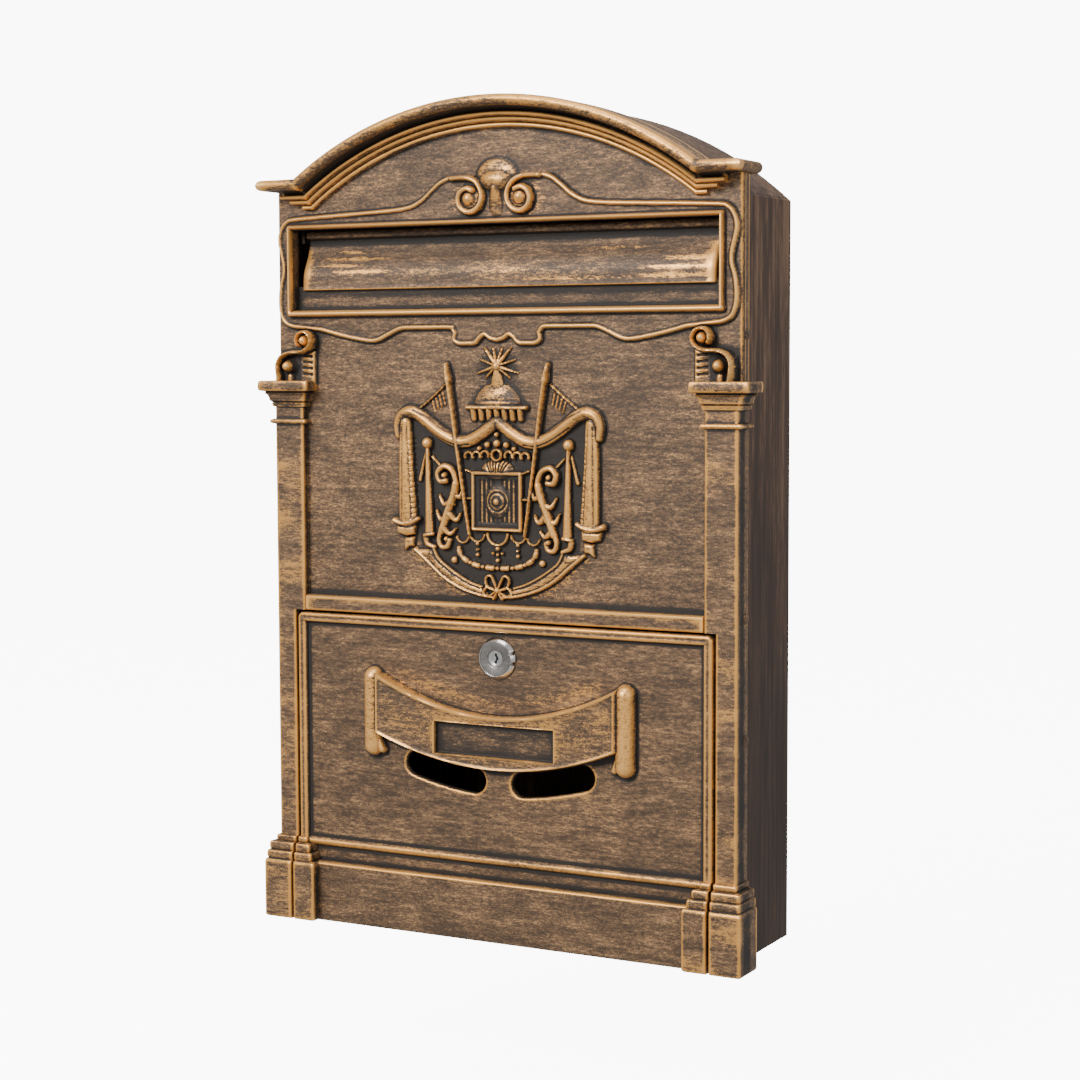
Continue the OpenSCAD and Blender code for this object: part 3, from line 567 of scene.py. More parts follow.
def bronze_finish(name, tone=0.0, gilt=0.0, patchy=1.5):
    """Dark brown paint brushed over with bronze, rubbed to gold on edges, sooty in hollows.

    The brush runs along x. tone lightens the ground, gilt adds gold and patchy gathers it in
    clumps."""
    n = Nodes(name)
    clump = n.noise(60, (2.2, 1, 1), 2, 0.5)
    smear = n.noise(190, (6, 1, 1), 3, 0.55, 5.2)
    streak = n.noise(520, (6, 1, 1), 4, 0.65, 3.1)
    fine = n.noise(1300, (3, 1, 1), 3, 0.65, 7.7)
    grain = n.noise(2100, (1.3, 1, 1), 3, 0.7, 1.3)
    edge, lift = n.attribute("edge"), n.attribute("lift")
    # The dark-patina attribute also carries painted shade, and the gilding attribute also carries
    # painted highlights and painted shade.
    soot_and_shade, rub_and_light = n.attribute("soot_and_shade"), n.attribute("rub_and_light")
    brushed = n.blend((streak, 0.36), (fine, 0.44), (grain, 0.44), (-0.12, 1.0))
    ground = n.blend((brushed, 1.1), (clump, 0.20), (smear, 0.20), (tone - 0.262, 1.0))
    body = n.mix(n.between(ground, 0.40, 0.53), DARK, BROWN)
    body = n.mix(n.between(ground, 0.52, 0.66), body, LIGHT)
    loose = n.sum("SUBTRACT", brushed, 0.5)
    patch = n.blend((clump, 0.8), (smear, 0.3), (-0.55, 1.0))
    wear_and_light = n.sum("MULTIPLY", n.sum("MAXIMUM", rub_and_light, 0.0), n.sum("MULTIPLY_ADD", brushed, 8.0, -3.1))
    wear_and_light = n.sum("ADD", wear_and_light, n.sum("MINIMUM", rub_and_light, 0.0))
    proud = n.blend((edge, 5.0), (lift, 0.62), (wear_and_light, 0.9), (loose, 3.4), (patch, patchy),
                    (soot_and_shade, -0.2), (gilt, 1.0))
    golden = n.between(proud, 0.30, 1.10)
    colour = n.mix(golden, body, GOLD)
    colour = n.mix(n.between(proud, 1.1, 2.6), colour, PALE)
    hollow_and_shade = n.blend((edge, -3.1), (lift, -0.40), (soot_and_shade, 0.80), (golden, -0.5), (loose, -1.0),
                     (patch, -0.4))
    black = n.between(hollow_and_shade, 0.16, 0.78)
    colour = n.mix(n.sum("MULTIPLY", black, n.blend((fine, 0.35), (0.78, 1.0))), colour, BLACK)
    rough = n.blend((golden, -0.16), (black, 0.14), (fine, 0.14), (0.46, 1.0))
    metal = n.blend((golden, 0.45), (black, -0.2), (0.22, 1.0))
    height = n.blend((grain, 0.5), (streak, 0.5), (fine, 0.5))
    return n.finish(colour, rough, height, metal, 0.4, 0.00025)


def housing_finish(name):
    """Dark brown satin paint with faint upright brush streaks, paler towards the top."""
    n = Nodes(name)
    broad = n.noise(28, (1, 1, 4), 3, 0.5)
    streak = n.noise(330, (1, 1, 22), 4, 0.6, 2.2)
    fine = n.noise(1300, (1, 1, 14), 2, 0.6, 5.5)
    height = n.add("ShaderNodeSeparateXYZ", Vector=n.coords).outputs["Z"]
    upper = n.between(height, -0.1, 0.18)
    level = n.blend((streak, 0.6), (fine, 0.4), (broad, 0.35), (upper, 0.16), (-0.22, 1.0))
    colour = n.mix(n.between(level, 0.34, 0.58), PAINT_DARK, PAINT)
    colour = n.mix(n.between(level, 0.52, 0.72), colour, PAINT_PALE)
    rough = n.sum("MULTIPLY_ADD", fine, 0.2, 0.46)
    n.put(n.shader.inputs["Specular IOR Level"], 0.28)
    return n.finish(colour, rough, level, 0.0, 0.3, 0.0002)


def metal_finish(name, low, high, rough, scale=400.0, bump=0.12):
    """Plated or turned metal, with fine grain and cloudy tone."""
    n = Nodes(name)
    cloud = n.noise(scale / 6, (1, 1, 1), 3, 0.5)
    fine = n.noise(scale * 4, (1, 1, 3), 2, 0.5, 4.0)
    level = n.sum("MULTIPLY_ADD", fine, 0.4, n.sum("MULTIPLY", cloud, 0.6))
    colour = n.mix(n.between(level, 0.35, 0.65), low, high)
    roughness = n.sum("MULTIPLY_ADD", level, 0.18, rough)
    return n.finish(colour, roughness, fine, 1.0, bump, 0.0001)


bronze = bronze_finish("bronze_brushed")
bronze_up = bronze_finish("bronze_brushed_columns", 0.025, 0.2, 3.0)
bronze_flap = bronze_finish("bronze_brushed_flap", -0.02, -0.1)
paint = housing_finish("housing_paint_brown")
zinc = metal_finish("zinc_dull", (0.16, 0.155, 0.15), (0.34, 0.33, 0.32), 0.36)
# Near-black steel for the rod and clips, which sit in the slot's shade: painted shade.
steel = metal_finish("steel_in_painted_shade", (0.020, 0.015, 0.012), (0.055, 0.042, 0.033), 0.45)
chrome = metal_finish("chrome_bright", (0.52, 0.51, 0.50), (0.72, 0.71, 0.70), 0.12, 300, 0.05)
dull_chrome = metal_finish("chrome_dull", (0.17, 0.16, 0.15), (0.30, 0.285, 0.27), 0.30, 500, 0.15)
brass = metal_finish("brass_plain", (0.50, 0.36, 0.14), (0.72, 0.54, 0.25), 0.25)
# Near-black finish for the keyway: painted shade inside the slot.
shade = metal_finish("keyway_painted_shade", (0.010, 0.010, 0.010), (0.03, 0.03, 0.03), 0.6)

# ---- Cornice: one moulding swept along the arch, the level ends and the returns ----

NOSE_R = 2.7
COVE_LOW = -8.4
COVE_X = 121.0
RETURN_X = 112.5
D_RETURN = 45.0


def bead_section(o_top, o_low, front, back):
    """Round front of a bead between two offsets, as (offset, distance) points."""
    t = np.radians(np.linspace(90, -90, 11))
    mid, half = (o_top + o_low) / 2, (o_top - o_low) / 2
    return np.stack([mid + half * np.sin(t), back + (front - back) * np.cos(t)], -1)


def sweep_path(offset, level_x, arch_steps=120, level_steps=12):
    """Points (x, z) of the right half of the moulding's line at one offset."""
    r = ARCH_R + offset
    level = TIP_Z + offset
    mitre = math.sqrt(r * r - (level - ARCH_C) ** 2)
    stop = math.asin(mitre / r)
    a = np.linspace(0, stop, arch_steps + 1)
    curve = np.stack([r * np.sin(a), ARCH_C + r * np.cos(a)], -1)
    flat = np.linspace(mitre, max(level_x, mitre + 0.5), level_steps + 1)[1:]
    return np.vstack([curve, np.stack([flat, np.full(level_steps, level)], -1)])


def both_ways(half):
    """The whole line from its right half, from left to right."""
    left = half[:0:-1] * (-1, 1)
    return np.vstack([left, half])


def cornice_beads():
    """Three thin beads stepping back below the nose, each with rounded ends."""
    beads = [(-7.4, -10.0, 65.3, 60.6, 121.2), (-9.6, -12.5, 63.0, 58.6, 116.7),
             (-12.1, -15.2, 60.9, 57.2, 110.7)]
    for number, (top, low, front, back, stop) in enumerate(beads, 1):
        section = bead_section(top, low, front, back)
        ring = np.vstack([section, [(low, D_BACK), (top, D_BACK)]])
        mid, half = (top + low) / 2, (top - low) / 2
        rows = []
        for offset, d in ring:
            round_end = half * (1 - math.sqrt(max(0, 1 - ((offset - mid) / half) ** 2)))
            line = both_ways(sweep_path(offset, stop - round_end))
            rows.append(place(line[:, 0], d, line[:, 1]))
        P = np.stack(rows, 1)
        share = np.abs(np.array([o for o, _ in ring]) - mid) / half
        soot_and_shade = np.broadcast_to(1.2 * step_up((share - 0.35) / 0.6), P.shape[:2])
        obj = loft(f"cast_cornice_bead_{number}", P, soot_and_shade, -0.35 - soot_and_shade, reach=(1, 3))
        finish_piece(obj, "box", "bronze_casting", bronze_up)


def cornice_nose():
    """Rounded nose over the arch, with its cove, tips and short returns along the sides."""
    t = np.radians(np.linspace(90, -90, 17))
    nose = np.stack([-NOSE_R + NOSE_R * np.sin(t), D_CORNICE - NOSE_R + NOSE_R * np.cos(t)], -1)
    top = respaced([(0, D_EDGE), (0, D_CORNICE - NOSE_R)], 1.6)[:-1]
    under = respaced([(-2 * NOSE_R, D_CORNICE - NOSE_R), (-2 * NOSE_R, 66.4),
                      (-6.4, 63.4), (-7.6, 61.6), (COVE_LOW, 60.4), (COVE_LOW, D_BACK)], 0.9)[1:]
    back = respaced([(COVE_LOW, D_BACK), (-3.2, D_BACK), (-3.2, D_EDGE), (0, D_EDGE)], 1.5)[1:-1]
    ring = np.vstack([top, nose, under, back])
    rows, cove_soot_and_shade, nose_light_and_shade = [], [], []
    for offset, d in ring:
        x = TIP_X + (d - D_CORNICE)
        in_cove = offset < -2 * NOSE_R - 0.01
        stop = COVE_X if in_cove else max(x, RETURN_X)
        line = both_ways(sweep_path(offset, stop))
        P = place(line[:, 0], d, line[:, 1])
        ends = place(np.full(9, stop), np.linspace(d, D_RETURN, 10)[1:], line[-1, 1])
        left = ends[::-1] * (-1, 1, 1)
        rows.append(np.vstack([left, P, ends]))
        # The cove under the nose: black patina and painted shade under the overhang.
        cove_soot_and_shade.append(0.95 if offset < -2 * NOSE_R - 0.3 else 0.0)
        # Painted light and shade: the nose's front is lighter at its top and darker towards its
        # lower half.
        low = np.clip(-offset / (2 * NOSE_R), 0, 1)
        nose_light_and_shade.append(0.9 - 2.1 * low if d > D_EDGE + 14 else -0.3)
    P = np.stack(rows, 1)
    soot_and_shade = np.broadcast_to(np.array(cove_soot_and_shade), P.shape[:2])
    gilt_and_light = np.broadcast_to(np.array(nose_light_and_shade), P.shape[:2])
    # Painted shade on the side returns; the cove's dark also takes its gilding away.
    far = P[..., 1] / MM > -D_CORNICE + 5
    side = far & (np.abs(P[..., 0]) / MM > TIP_X - D_CORNICE + D_EDGE)
    rub_and_light = np.where(side, -0.9, 0.25) - 1.6 * soot_and_shade
    obj = loft("cast_cornice_nose", P, soot_and_shade, rub_and_light, gilt_and_light, reach=(1, 3))
    finish_piece(obj, "box", "bronze_casting", bronze_up, "front_casting")


# ---- Plaque with the letter slot ----


def plaque_outline():
    """Right half of the plaque's edge, from its top middle round to its bottom middle."""
    top = [(17, 372), (24, 372.2), (30, 370.5), (35, 367), (40, 362.8), (45, 360), (50, 358.5),
           (60, 357.5), (80, 356.6), (100, 355.8), (116, 355)]
    side = [(119.6, 354.6), (122.6, 352.4), (124.6, 348.4), (125.1, 344), (124.1, 339),
            (122.7, 333), (122.7, 328), (124.4, 322), (125.1, 314), (124.4, 308), (122.3, 304),
            (118, 302), (112, 301.3)]
    foot = [(100, 300), (90, 297.5), (80, 295.5), (71, 294.3), (66, 295.2), (60, 298),
            (54, 300.3), (48, 300.6), (38, 300.6), (27, 300.6), (24.6, 300)]
    tab = [(23, 297.6), (23.6, 294.6), (21, 292.8), (16, 292.7), (12, 293), (9.4, 295.6),
           (6.5, 297), (3.6, 295.2), (0, 294.3)]
    return [smooth(top, 4), smooth(side, 4), smooth(foot, 4), smooth(tab, 4)]


def draw_plaque(r):
    half = np.vstack(plaque_outline())
    closed = np.vstack([[(0, 372)], half, mirrored(half)[::-1]])
    r.pad(closed, 1.3, soft=0.9)
    for side in (half, mirrored(half)):
        r.ridge(side, 1.35, 2.7)
    r.ridge([(-24, 300.6), (-27, 300.6)], 1.1, 2.8)


def draw_shell(r):
    """Shell between the scrolls, in front of a raised hood."""
    r.dome(0, 371.6, 11.4, 9.6, 2.4, power=0.6)
    r.dome(0, 370.2, 9.4, 5.4, 4.6)
    r.gild([(-5, 373), (5, 374)], 8, 0.9)


def draw_volutes(r):
    """Two scrolls over the slot with a shell between them."""
    draw_shell(r)
    for sign in (-1, 1):
        cx, cz = 14 * sign, 361.8
        turns = np.radians(np.array([92, 60, 20, -20, -60, -100, -140, -180, -220, -260, -300]))
        radii = np.array([9.8, 8.6, 7.4, 6.8, 6.5, 6.3, 6.0, 5.6, 5.2, 4.8, 4.4])
        spiral = np.stack([cx - sign * radii * np.cos(turns), cz + radii * np.sin(turns)], -1)
        lead = [(24 * sign, 371.8), (19 * sign, 372.0)]
        r.dome(cx, cz, 6.4, 6.4, 4.0, power=0.25)
        run = smooth(np.vstack([lead, spiral]), 6)
        r.ridge(run, (1.5, 1.9), (4.4, 6.0))
        r.dome(cx, cz, 4.1, 4.1, 6.2)
        r.gild(arc(cx, cz, 6, 0, 360), 8, 1.2)
    r.ridge([(0, 367), (0, 356.5)], (2.6, 4.2), (4.4, 2.4))


def draw_slot(r):
    """Beaded frame of the slot, its sunk sill and painted shade in the pocket round the flap."""
    mid_x, mid_top = (SLOT_OUT + SLOT_IN) / 2, SLOT_TOP - 1.2
    mid_low = SLOT_BOTTOM + SILL_BEAD / 2
    r.sink(rect(-SLOT_IN, SLOT_BOTTOM + 1, SLOT_IN, SLOT_TOP - 1), D_SILL, 0.5)
    for sign in (-1, 1):
        r.ridge([(sign * mid_x, mid_low), (sign * mid_x, mid_top)], 1.3, 5)
    r.ridge([(-mid_x, mid_top), (mid_x, mid_top)], 1.3, 5)
    r.ridge([(-mid_x, mid_low), (mid_x, mid_low)], 1.75, 5)
    low = SLOT_BOTTOM + SILL_BEAD
    # Painted shade under the top bead, in the pocket behind the flap and along the sill.
    r.darken(rect(-SLOT_IN - 0.4, OPENING_TOP - 1.2, SLOT_IN + 0.4, OPENING_TOP + 0.5), 1.3, 0.5)
    r.darken(rect(-SLOT_IN, low + 5.5, SLOT_IN, OPENING_Z + 1), 0.9, 4)
    r.darken(rect(-SLOT_IN - 1, low - 0.4, SLOT_IN + 1, low + 1.2), 0.8, 1.2)


def draw_console(r, sign):
    """Scrolled console over a capital."""
    def at(points):
        return np.array(points, float) * (sign, 1)
    r.pad(at([(104.4, 272), (125.4, 272), (125.4, 286), (104.4, 289.4)]), 2.5, soft=1.0)
    r.darken(at(rect(112, 272, 127, 290)), 0.9, 2)
    for z in (277.5, 280.5, 283.5, 286.5):
        r.groove(at([(106, z), (111, z + 0.4)]), 0.7, 0.9)
    scroll = arc(109.2, 294.5, (4.0, 4.7), -35, 235, 20)
    tail = [(109.6, 289), (113.4, 288.6), (118, 288.3), (122.2, 286.4), (124.3, 282.4),
            (124, 277.6), (123.6, 272.5)]
    band = smooth(np.vstack([scroll[::2], tail]), 4)
    r.ridge(at(band), (1.05, 1.35), (7.4, 8.6))
    for x, z, size, top in ((109.2, 294.5, 3.1, 8.2), (118.1, 281.6, 3.5, 9.8)):
        r.dome(sign * x, z, size + 1.1, size + 1.1, top - 4.6, power=0.3)
        r.dome(sign * x, z, size, size, top)
        r.gild([(sign * x, z), (sign * x + 0.1, z)], size + 1, 1.0)
    r.ridge(at([(118, 276.6), (118, 272)]), 2.6, 5)
    r.gild(at(band), 3, 0.9)


# ---- Crest: a generic cartouche hung with cloth ----


def both_sides(draw, points, *args, **kwargs):
    draw(np.array(points, float), *args, **kwargs)
    draw(mirrored(points), *args, **kwargs)


def bars(r, *rows):
    """Rounded bars on both sides: their points, half widths and heights."""
    for points, half, top in rows:
        both_sides(r.ridge, points, half, top)


def bosses(r, *rows):
    """Round bosses on both sides: their x, z, radius and height."""
    for x, z, size, top in rows:
        for sign in (-1, 1):
            r.dome(sign * x, z, size, size, top)


def draw_crest_head(r):
    """Rays, stem and ribbed dome of the canopy."""
    for x, z, w in ((7.4, 290.6, 1.5), (2.4, 290.2, 1.1), (11, 278.2, 1.3), (6.6, 276, 1.1),
                    (9.6, 284.6, 0.9)):
        both_sides(r.ridge, [(0, 281.6), (x, z)], (w, 0.35), (3.0, 1.2))
    r.dome(0, 281.6, 2.6, 2.6, 3.8)
    r.ridge([(0, 281), (0, 271.5)], (1.5, 4.2), (3.0, 2.6))
    part = r.window([(-13.4, 261), (13.4, 274)], 0)
    share = 1 - (r.X[part] / 13.2) ** 2 - ((r.Z[part] - 261.5) / 12.3) ** 2
    steps = 0.18 * np.cos((r.Z[part] - 261.5) * 2.6) * (r.Z[part] < 266)
    dome = D_FACE + (3.9 + steps) * np.sqrt(np.clip(share, 0, 1))
    r.raise_to(part, (share > 0) & (r.Z[part] > 261.5), dome)
    r.ridge([(-16, 261.6), (16, 261.6)], 1.25, 3.9)
    for k in range(-3, 4):
        r.ridge([(4.3 * k, 260.4), (4.3 * k, 256.4)], (1.9, 1.7), (3.6, 2.6))


def draw_drapery(r):
    """Swags, hanging folds and the hem of the cloth."""
    swag = smooth([(55.4, 247.6), (55.8, 253), (53.6, 257.4), (49, 259.2), (44, 257.8),
                   (38, 253.6), (30, 248.2), (22, 245), (15, 245.6), (8, 249.2), (3, 252.8),
                   (0, 254.6)])
    bars(r, (swag[:24], (2.0, 3.3), (4.0, 4.6)), (swag[23:], (3.3, 3.2), (4.6, 3.6)))
    for line, half, deep in (([(46, 260.2), (38, 256.4), (31, 251.4), (25, 249)], 0.55, 0.6),
                             ([(40, 252.4), (30, 246.2), (22, 243.4), (15, 243.8)], 0.5, 0.5)):
        both_sides(r.groove, smooth(line), half, deep)
    fold = smooth([(51.4, 254), (51.2, 232), (50.2, 206.5)], 6)
    both_sides(r.ridge, fold, (3.2, 5.2), (4.0, 4.4), sharp=0.6)
    for line in ([(52.6, 252), (52.8, 232), (53, 207)], [(50, 252), (49, 232), (47.6, 207)]):
        both_sides(r.groove, smooth(line, 6), 0.5, 0.45)
    for k in range(15):
        x, z = 47.2 - 0.12 * k, 246 - 2.6 * k
        both_sides(r.groove, [(x, z), (x + 2, z - 0.6)], 0.35, 0.5)
    both_sides(r.gild, fold, 6, 1.0)
    lip = smooth([(44.2, 206.6), (48, 204.8), (53, 204.2), (57.6, 205.6)])
    both_sides(r.ridge, lip, (1.4, 1.7), 4.8)
    both_sides(r.pad, [(45.6, 203.4), (57, 203.2), (56.2, 199), (51.4, 197.8), (46.4, 198.8)],
               3.6, soft=1.6)
    both_sides(r.pad, [(46.8, 197.8), (52.4, 197.2), (52.8, 190.6), (49.8, 192.6), (47.2, 193)],
               2.8, soft=1.3)
    both_sides(r.gild, [(50.6, 206), (50.6, 193)], 6, 0.8)
    hem = smooth([(46.6, 191.4), (40, 186.2), (30, 178.2), (20, 173.2), (10, 170.5), (3, 169.7)])
    inner = smooth([(36, 192.6), (33.4, 187.6), (29, 184), (22, 179.6), (15, 176.2), (9, 174.4)])
    both_sides(r.pad, np.vstack([hem, inner[::-1], [(41, 192)]]), 2.3, soft=2.6)
    bars(r, (hem, (1.1, 0.9), 2.7), (inner, (0.9, 0.7), 2.7))
    both_sides(r.gild, hem, 6.5, 1.3)


def draw_staffs(r):
    """Two long staffs with pennants and two short ones with ball tops."""
    staff = smooth([(27.4, 279), (24.4, 261), (21, 237), (17.7, 215), (15.3, 200)], 5)
    bars(r, (staff, (1.25, 0.85), (5.0, 3.6)),
         ([(28, 282.4), (26.6, 275)], (1.1, 2.0), (3.8, 5.0)),
         (smooth([(29, 272.6), (36, 266.8), (43.6, 261)]), 0.55, 1.8),
         ([(38.9, 241), (38.2, 200.4)], (1.1, 2.7), (3.2, 3.6)),
         ([(36.2, 199.4), (40.6, 198.8)], 1.1, 3.8),
         (smooth([(40.2, 197.6), (39.4, 194.6), (35.6, 193)]), (1.9, 1.3), 3.0),
         ([(40.4, 238.6), (43.6, 226)], (0.6, 1.2), 2.0),
         ([(36.6, 237.4), (32.4, 233.4)], (0.6, 0.9), 2.0))
    for k in range(4):
        bars(r, ([(31 + 1.9 * k, 269 - 1.6 * k), (29.6 + 1.9 * k, 262.8 - 1.1 * k)], 0.42, 1.0))
    bosses(r, (39, 244, 3.0, 4.8))


def draw_shield(r):
    """A plain framed field with a small boss, under beads and a shell."""
    field = rect(-13, 202.6, 13, 229.8)
    r.pad(field, 1.2, soft=0.8)
    r.border(field, 1.15, 3.5)
    for x in (-10, -7.5, -5, -2.5, 2.5, 5, 7.5, 10):
        r.groove([(x, 206), (x, 226.4)], 0.55, 0.7)
    r.dome(0, 216.2, 6.6, 8.8, 2.5, power=0.35)
    r.groove(arc(0, 216.2, 4.6, 0, 360, 24), 0.6, 0.7)
    r.dome(0, 216.2, 2.4, 2.4, 4.0)
    r.dome(0, 231.4, 9.2, 5.2, 3.4)
    for k in range(-3, 4):
        r.groove([(1.1 * k, 230.6), (2.4 * k, 237)], 0.45, 0.8)
    r.ridge(arc(0, 238.7, 2.6, 0, 360), 0.75, 3.4)
    bosses(r, (0, 244.4, 2.1, 3.8), (0, 248.6, 1.4, 3.8), (5.2, 243.7, 1.7, 3.8),
           (9.6, 241.8, 1.3, 3.8))
    for x in (6.6, 11.2, 15.6):
        bars(r, (arc(x, 238.4 - (x - 6.6) * 0.06, 2.1, -20, 200, 10), 0.75, 3.0))
    bars(r, ([(13, 217.4), (21, 217.2)], 0.8, 2.2),
         (smooth([(14, 229.9), (17.5, 231.2)]), 0.6, 2.4))


def draw_acanthus(r):
    """Leafy scrolls that stand on either side of the shield."""
    stem = smooth([(26.8, 196.6), (28, 193.6), (31.2, 193.4), (32.6, 197), (30.8, 202.4),
                   (28.4, 208), (26.2, 214), (23.6, 219.4), (22.6, 225.4), (24.8, 231),
                   (29.4, 232.8), (32.6, 229.6), (31.4, 225.8), (28.4, 225.8)])
    body = smooth([(31, 201), (28.6, 207.6), (26.4, 213.6), (24, 219), (22.8, 224.6)])
    bars(r, (stem, (1.5, 1.9), (3.2, 4.6)), (body, 2.2, (4.0, 4.4)))
    for leaf in ([(25.4, 215), (29.6, 214.4), (32.4, 218.6)],
                 [(27.6, 208), (31.6, 206.8), (34, 211)],
                 [(26.6, 209.4), (22.8, 206.6), (20.6, 210)],
                 [(24.2, 219.4), (20.6, 218.2), (19.4, 222)],
                 [(30, 202.4), (26.4, 199.8), (23.4, 202.4)]):
        bars(r, (smooth(leaf), (2.3, 0.6), (4.0, 2.4)))
    bosses(r, (28.9, 228.4, 1.8, 5.0), (28.2, 197.2, 1.5, 4.2))
    both_sides(r.gild, body, 6, 0.9)


def draw_garland(r):
    """A collar of barrels and beads, with small drops and a bow."""
    steps = np.linspace(0, 1, 9)
    turn = steps * math.pi / 2
    line = np.stack([21.5 * np.sin(turn), 183.8 + 9.4 * (1 - np.cos(turn)) ** 1.2], -1)
    for k, (x, z) in enumerate(line):
        if k % 2 == 0:
            bosses(r, (x, z, 1.2, 3.2))
        else:
            v = (line[k + 1] - line[k - 1]) * 0.17
            bars(r, ([(x - v[0], z - v[1]), (x + v[0], z + v[1])], 1.6, 3.2))
    r.ridge(arc(0, 200.6, 5.6, 180, 360, 12), 0.8, 2.4)
    bars(r, (arc(11.4, 200.6, 4.2, 190, 350, 10), 0.6, 2.0),
         (arc(19.6, 199, 3.4, 190, 350, 10), 0.6, 2.0))
    for x, z, size in ((0, 193.4, 1.3), (0, 190.4, 1.0), (0, 187.6, 1.2), (2.6, 191, 0.9),
                       (11.2, 195.4, 1.1), (11.2, 192.6, 0.8), (11.2, 190, 1.1), (24.4, 187, 1.9)):
        bosses(r, (x, z, size, 2.8))
    for loop in ([(0.6, 174.4), (3.6, 180), (6.4, 178.6), (5.4, 174.6), (1, 173)],
                 [(1, 173), (5.6, 174.4), (7.8, 171.6), (5.4, 169.8), (1, 172.4)]):
        bars(r, (smooth(loop), 0.75, 3.0))
    bars(r, ([(0.4, 172), (2.4, 168.8)], 0.8, 2.6))
    r.dome(0, 173, 1.7, 1.7, 3.8)


def draw_crest(r):
    ground = smooth([(0, 253), (10, 247), (22, 244), (36, 250), (46, 256), (47.6, 230),
                     (44.6, 205), (43, 192), (34, 182), (20, 174.6), (6, 171), (0, 170.6)])
    head = np.array([(15, 255), (17, 262), (13, 274), (10, 288)])
    for half, amount, soft in ((ground, 1.0, 3), (head, 0.55, 5)):
        r.darken(np.vstack([half, mirrored(half)[::-1]]), amount, soft)
    for sign in (-1, 1):
        r.gild([(sign * 38.6, 241), (sign * 38.2, 200)], 4, 0.7)
    r.gild([(0, 284), (0, 264)], 11, 0.9)
    draw_drapery(r)
    draw_garland(r)
    draw_acanthus(r)
    draw_shield(r)
    draw_crest_head(r)
    draw_staffs(r)


# ---- Cast panels ----

CREST_HALF = 60.0
CLOSER_X = 102.0  # beyond it the grid lines draw closer again


def panel_lines(edge, pitch, marks=()):
    """Grid lines across the front: close over the crest, wider beside it, pitch at the edge."""
    bands = [(CREST_HALF, 0.5), (CLOSER_X, 1.0), (edge, pitch)]
    return both_halves(grid_lines(0, edge, bands, marks))


def rounded_edge(r, inset, radius):
    """Rounds the front arris of a panel; inset is the distance in from its edge."""
    gap = np.clip(inset, 0, radius)
    r.H -= radius - np.sqrt(radius**2 - (radius - gap) ** 2)


def upper_panel():
    xs = panel_lines(BODY_HALF, 0.55, (SLOT_IN, SLOT_OUT, BODY_HALF))
    zs = grid_lines(CAPITAL_Z - 2, SHOULDER_Z, 0.5, marks=(OPENING_Z, OPENING_TOP))
    r = Relief(xs, zs, D_FACE)
    draw_plaque(r)
    draw_volutes(r)
    draw_slot(r)
    draw_crest(r)
    for sign in (-1, 1):
        draw_console(r, sign)
    rounded_edge(r, BODY_HALF - np.abs(r.X), 1.1)
    within = np.minimum(SLOT_IN - np.abs(r.X), np.minimum(r.Z - OPENING_Z, OPENING_TOP - r.Z))
    hole = np.where(within > 0.01, 2, np.where(within > -0.01, 1, 0))
    obj = relief_solid("cast_slot_panel", r, D_BACK, hole)
    finish_piece(obj, "box", "bronze_casting", bronze)


def tympanum():
    """Plain field under the arch, with the shell's top."""
    half = math.sqrt((ARCH_R - 4) ** 2 - (SHOULDER_Z - ARCH_C) ** 2)
    xs = grid_lines(-half, half, 1.0)
    share = np.linspace(0, 1, 40)
    r = Relief(xs, share * 100, D_FACE)
    top = ARCH_C + np.sqrt((ARCH_R - 4) ** 2 - xs**2)
    r.Z = SHOULDER_Z + share[None, :] * (top[:, None] - SHOULDER_Z)
    draw_shell(r)
    # Dark band just under the lowest cornice bead: patina in the joint and painted shade from the
    # overhang.
    gap = np.abs(np.hypot(r.X, r.Z - ARCH_C) - (ARCH_R - 15.4))
    r.soot_and_shade = 0.8 * close_to(gap, 3.0)
    obj = relief_solid("cast_tympanum", r, D_BACK)
    finish_piece(obj, "box", "bronze_casting", bronze)


def crest_panel():
    edge = COLUMN_IN + 2
    xs = panel_lines(edge, 0.9)
    zs = grid_lines(CROSSBAR_Z, CAPITAL_Z - 2, 0.5, marks=(CROSSBAR_Z, PANEL_Z))
    r = Relief(xs, zs, D_FACE)
    draw_crest(r)
    bar = rect(-edge - 2, CROSSBAR_Z - 2, edge + 2, PANEL_Z)
    r.pad(bar, D_COLUMN - D_FACE, soft=1.0)
    low = np.clip((r.Z - CROSSBAR_Z) / 1.0, 0, 1)
    r.H = np.where(r.Z < CROSSBAR_Z + 1, np.minimum(r.H, D_COLUMN - 1 + quarter(low)), r.H)
    r.H = np.where(np.abs(r.X) > COLUMN_IN + 0.2, np.minimum(r.H, D_FACE), r.H)
    near = step_up(1 - (r.Z - PANEL_Z - 1) / 4) * (r.Z > PANEL_Z)
    sides = step_up(1 - (COLUMN_IN - np.abs(r.X)) / 5)
    r.soot_and_shade = np.maximum(r.soot_and_shade, 0.75 * np.maximum(near, 0.8 * sides))
    obj = relief_solid("cast_crest_panel", r, D_BACK)
    finish_piece(obj, "box", "bronze_casting", bronze)


def side_rims():
    """Flanges of the casting behind its upper panel, along both sides."""
    for sign, side in SIDES:
        zs = np.linspace(CAPITAL_Z - 2, SHOULDER_Z - 4, 60)
        ring = respaced([(BODY_HALF - 2.4, D_EDGE), (BODY_HALF, D_EDGE), (BODY_HALF, D_BACK),
                         (BODY_HALF - 2.4, D_BACK), (BODY_HALF - 2.4, D_EDGE)], 0.8)[:-1]
        P = np.stack([place(sign * ring[:, 0], ring[:, 1], z) for z in zs])
        # The flanges' side faces take painted shade and lose their gilding.
        obj = loft(f"cast_flange_{side}", P, soot_and_shade=0.7, rub_and_light=-2.0)
        finish_piece(obj, "box", "bronze_casting", bronze)


# ---- Moulded blocks: columns, capitals and pedestals ----

